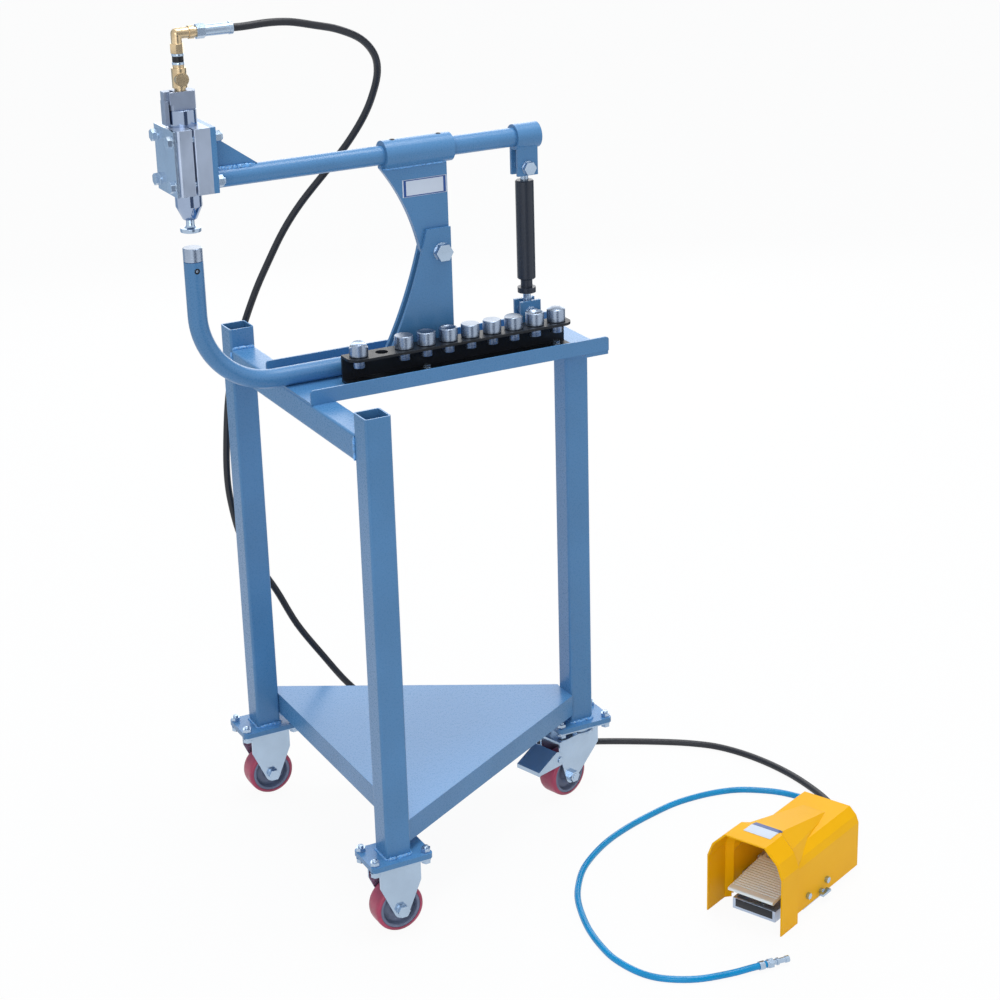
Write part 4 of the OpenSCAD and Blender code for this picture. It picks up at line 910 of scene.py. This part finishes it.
# Lengths in millimetres; thicknesses in metres
SOCKET_PROFILE = [
    (4.0, -2.0), (4.0, 0.3), (3.5, 0.8), (2.4, 0.8), (2.1, 0.4), (2.1, -1.6), (0.0, -1.6),
]
SLEEVE_SCREWS = ((168.9, 15.0, 1116.6), (243.1, 15.0, 1116.6))
ANVIL_SCREW = (-146.0, 1.6, 971.0)
WEB_PLATE = ((180.0, 1030.0), (252.0, 1030.0), (252.0, 1056.0), (180.0, 1056.0))
WEB_FACE_Y = 10.0
GUARD_LABEL = (26.0, 62.0, -27.0, 19.0)  # along the guard from, to, and across it from, to
LABEL_STEPS = 12
LABEL_RAY = 200.0  # the height from which the guard's face is looked for
PLATE_T = 0.0006
PRINT_T = 0.0002
PLATE_EDGE = 0.4  # rounding of a plate's edge as a share of its thickness
BORDER = (0.95, 0.84)  # the printed border's outer and inner size as a share of the plate
DARK_PANEL_T = 0.0008
BASE_FRONT = 28.0
PANEL_HALF, PANEL_LOW, PANEL_HIGH = 32.0, 4.5, 17.2


def slab(bm, corners, lift, thick):
    """A thin plate through four points that lies on a face and stands out by its thickness."""
    out = (corners[1] - corners[0]).cross(corners[3] - corners[0]).normalized()
    low = [bm.verts.new(c + out * lift) for c in corners]
    high = [bm.verts.new(c + out * (lift + thick)) for c in corners]
    bm.faces.new(high)
    bm.faces.new(low[::-1])
    for i in range(4):
        bm.faces.new((low[i - 1], low[i], high[i], high[i - 1]))
    rim = [e for e in bm.edges if all(v in high for v in e.verts)]
    bmesh.ops.bevel(bm, geom=rim, offset=thick * PLATE_EDGE, affect="EDGES", segments=2, profile=0.5)


def drape(bm, points, lift, thick):
    """A thin label over rows of points on a face, with an edge that turns down to it."""
    rows = [[bm.verts.new(p + UP * (lift + thick)) for p in row] for row in points]
    for low, high in zip(rows, rows[1:]):
        for i in range(len(low) - 1):
            bm.faces.new((low[i], high[i], high[i + 1], low[i + 1]))
    rim = bmesh.ops.extrude_edge_only(bm, edges=[e for e in bm.edges if e.is_boundary])["geom"]
    for vert in rim:
        if isinstance(vert, bmesh.types.BMVert):
            vert.co.z -= thick + lift


class HAMMER_OT_plates(bpy.types.Operator):
    """Sets the socket screws, the blank plates of arm and guard, and a dark panel on the front of the foot
    valve's base
    """

    bl_idname = "hammer.plates"
    bl_label = "Screws and plates"

    def execute(self, context):
        bm = bmesh.new()
        for place in SLEEVE_SCREWS:
            lathe(bm, SOCKET_PROFILE, placed(*place), steps=24)
        piece("sleeve_sockets", bm, "black_oxide", "arm")
        bm = bmesh.new()
        lathe(bm, SOCKET_PROFILE, placed(*ANVIL_SCREW) @ Matrix.Rotation(math.pi / 2, 4, "X"), steps=24)
        piece("anvil_socket_screw", bm, "black_oxide", "stand")
        self.web_plate()
        self.guard_label()
        self.front_dark_panel()
        return {"FINISHED"}

    def web_plate(self):
        """Blank plate with a printed border on the arm's web."""
        corners = [spot(x, WEB_FACE_Y, z) for x, z in WEB_PLATE]
        bm = bmesh.new()
        slab(bm, corners, 0.0, PLATE_T)
        piece("web_plate", bm, "plate_print", "arm")
        bm = bmesh.new()
        middle = sum(corners, Vector()) / 4
        outer, inner = ([middle + (c - middle) * share for c in corners] for share in BORDER)
        for i in range(4):
            slab(bm, [outer[i - 1], outer[i], inner[i], inner[i - 1]], PLATE_T, PRINT_T)
        piece("web_plate_border", bm, "band_print", "arm")

    def guard_label(self):
        """Blank label on the guard, with a band along its rear edge."""
        mesh = frame["nodes"]["foot_guard"].data
        tree = BVHTree.FromPolygons([v.co for v in mesh.vertices], [p.vertices for p in mesh.polygons])
        near, far, right, left = GUARD_LABEL
        rows = []
        for i in range(LABEL_STEPS + 1):
            along = near + (far - near) * i / LABEL_STEPS
            row = []
            for k in range(LABEL_STEPS + 1):
                across = right + (left - right) * k / LABEL_STEPS
                above = at_foot(along, across, LABEL_RAY)
                row.append(tree.ray_cast(spot(*above), -UP)[0])
            rows.append(row)
        bm = bmesh.new()
        drape(bm, rows, 0.0, PLATE_T)
        piece("guard_label", bm, "plate_print", "stand", angle=20)
        bm = bmesh.new()
        drape(bm, rows[2 * LABEL_STEPS // 3:], PLATE_T, PRINT_T)
        piece("guard_label_band", bm, "band_print", "stand", angle=20)

    def front_dark_panel(self):
        """Thin dark panel, in the black rubber finish, on the front of the foot valve's base."""
        bm = bmesh.new()
        corners = [
            spot(*at_foot(BASE_FRONT, side * PANEL_HALF, height))
            for side, height in ((1, PANEL_LOW), (-1, PANEL_LOW), (-1, PANEL_HIGH), (1, PANEL_HIGH))
        ]
        slab(bm, corners, 0.0, DARK_PANEL_T)
        piece("base_front_pad", bm, "black_rubber", "stand")


# ---------------------------------------------------------------- welds

PLATE_TOP = 126.0
TRAY_H = 774.0
CROSS_PLATE_T = 6.0
WELD_SEED = 7
BROAD = 1.5  # a broad bead's width against the others
BEAD_OFF = 0.4  # from a bead's middle to the faces it joins
# Second run in front of each leg, and the beads across and beside the crossbeam's ends
FRONT_HALF, FRONT_OFF, FRONT_RISE = 19.0, 1.5, 0.6
TRAY_HALF, TRAY_OFF, TRAY_RISE = 18.0, 0.5, 0.8
SIDE_LOW, SIDE_HIGH = -38.0, -3.0
# The narrowest place of a bead between two ripples, and its ends, as a share of its radius
RIPPLE_LOW = 0.78
BEAD_END = 0.45
BEAD_SWELL = 6  # how fast a bead grows from its ends to its whole width
BEAD_WANDER = 0.1  # how far its middle strays, as a share of its radius
BEAD_UNEVEN = (0.92, 1.08)
# Beads on the arm: along it from and to, off its middle, and above its axis
GUSSET_FROM, GUSSET_TO, GUSSET_OFF, GUSSET_RISE = -112.0, -46.0, 4.6, 13.4
WEB_FROM, WEB_TO, WEB_OFF, WEB_RISE = 150.0, 252.0, 7.0, -19.6


def bead(bm, start, end, dice, radius=None):
    """A weld bead from one point to another, in millimetres, with its ripples."""
    radius = radius or sizes().weld
    a, b = spot(*start), spot(*end)
    count = max(3, int((b - a).length / sizes().ripple))
    points, radii = [], []
    for i in range(2 * count + 1):
        share = i / (2 * count)
        stray = Vector((dice.uniform(-1, 1), dice.uniform(-1, 1), dice.uniform(-1, 1)))
        points.append(a.lerp(b, share) + stray * radius * BEAD_WANDER)
        crest = 1.0 if i % 2 else RIPPLE_LOW
        fade = min(1.0, BEAD_END + BEAD_SWELL * min(share, 1 - share))
        radii.append(radius * crest * fade * dice.uniform(*BEAD_UNEVEN))
    sweep(bm, points, radii, ROUND_SIDES)


def square_bead(bm, x, y, z, half, dice):
    """A bead all round a square tube."""
    corners = [(x + sx * half, y + sy * half, z) for sx, sy in CORNERS]
    for a, b in zip(corners, corners[1:] + corners[:1]):
        bead(bm, a, b, dice)


class HAMMER_OT_welds(bpy.types.Operator):
    """Runs the weld beads of the stand and of the arm"""

    bl_idname = "hammer.welds"
    bl_label = "Welds"

    def execute(self, context):
        dice = random.Random(WELD_SEED)
        broad = sizes().weld * BROAD
        bm = bmesh.new()
        for x, y in LEGS:
            square_bead(bm, x, y, PLATE_TOP + BEAD_OFF, LEG_HALF + BEAD_OFF, dice)
            y, z = y - LEG_HALF - FRONT_OFF, PLATE_TOP + FRONT_RISE
            bead(bm, (x - FRONT_HALF, y, z), (x + FRONT_HALF, y, z), dice, broad)
        for side in (-1, 1):
            y = side * (LEG_Y - LEG_HALF - TRAY_OFF)
            z = TRAY_H + TRAY_RISE
            bead(bm, (-TRAY_HALF, y, z), (TRAY_HALF, y, z), dice, broad)
            for x in (-LEG_HALF - BEAD_OFF, LEG_HALF + BEAD_OFF):
                bead(bm, (x, y, TRAY_H + SIDE_LOW), (x, y, TRAY_H + SIDE_HIGH), dice)
        z = TRAY_H - CROSS_PLATE_T - BEAD_OFF
        square_bead(bm, LEG_REACH, 0, z, LEG_HALF + BEAD_OFF, dice)
        piece("stand_welds", bm, "weld_paint_highlight", "stand", angle=75)
        bm = bmesh.new()
        for side in (-1, 1):
            y, z = MAST_Y + side * GUSSET_OFF, ARM_H + GUSSET_RISE
            bead(bm, (GUSSET_FROM, y, z), (GUSSET_TO, y, z), dice, broad)
            y, z = MAST_Y + side * WEB_OFF, ARM_H + WEB_RISE
            bead(bm, (WEB_FROM, y, z), (WEB_TO, y, z), dice)
        piece("arm_welds", bm, "weld_paint_highlight", "arm", angle=75)
        return {"FINISHED"}


# ---------------------------------------------------------------- panel and registration


class HAMMER_PT_panel(bpy.types.Panel):
    """Lists the steps that dress the machine"""

    bl_label = "Planishing hammer"
    bl_idname = "HAMMER_PT_panel"
    bl_space_type = "VIEW_3D"
    bl_region_type = "UI"
    bl_category = "Hammer"

    def draw(self, context):
        for group in (context.scene.hammer_colours, context.scene.hammer_sizes):
            box = self.layout.box()
            for key in group.__annotations__:
                box.prop(group, key)
        for operator in OPERATORS:
            self.layout.operator(operator.bl_idname)


OPERATORS = (
    HAMMER_OT_stage, HAMMER_OT_hoses, HAMMER_OT_spring, HAMMER_OT_finishes, HAMMER_OT_wheels,
    HAMMER_OT_hammer, HAMMER_OT_plates, HAMMER_OT_welds,
)
CLASSES = (HammerColours, HammerSizes, *OPERATORS, HAMMER_PT_panel)


def register():
    for cls in CLASSES:
        bpy.utils.register_class(cls)
    bpy.types.Scene.hammer_colours = PointerProperty(type=HammerColours)
    bpy.types.Scene.hammer_sizes = PointerProperty(type=HammerSizes)


def unregister():
    del bpy.types.Scene.hammer_sizes
    del bpy.types.Scene.hammer_colours
    for cls in reversed(CLASSES):
        bpy.utils.unregister_class(cls)


def main():
    register()
    bpy.ops.hammer.stage()
    bpy.ops.hammer.hoses()
    bpy.ops.hammer.spring()
    bpy.ops.hammer.finishes()
    bpy.ops.hammer.wheels()
    bpy.ops.hammer.hammer()
    bpy.ops.hammer.plates()
    bpy.ops.hammer.welds()


if __name__ == "__main__":
    main()
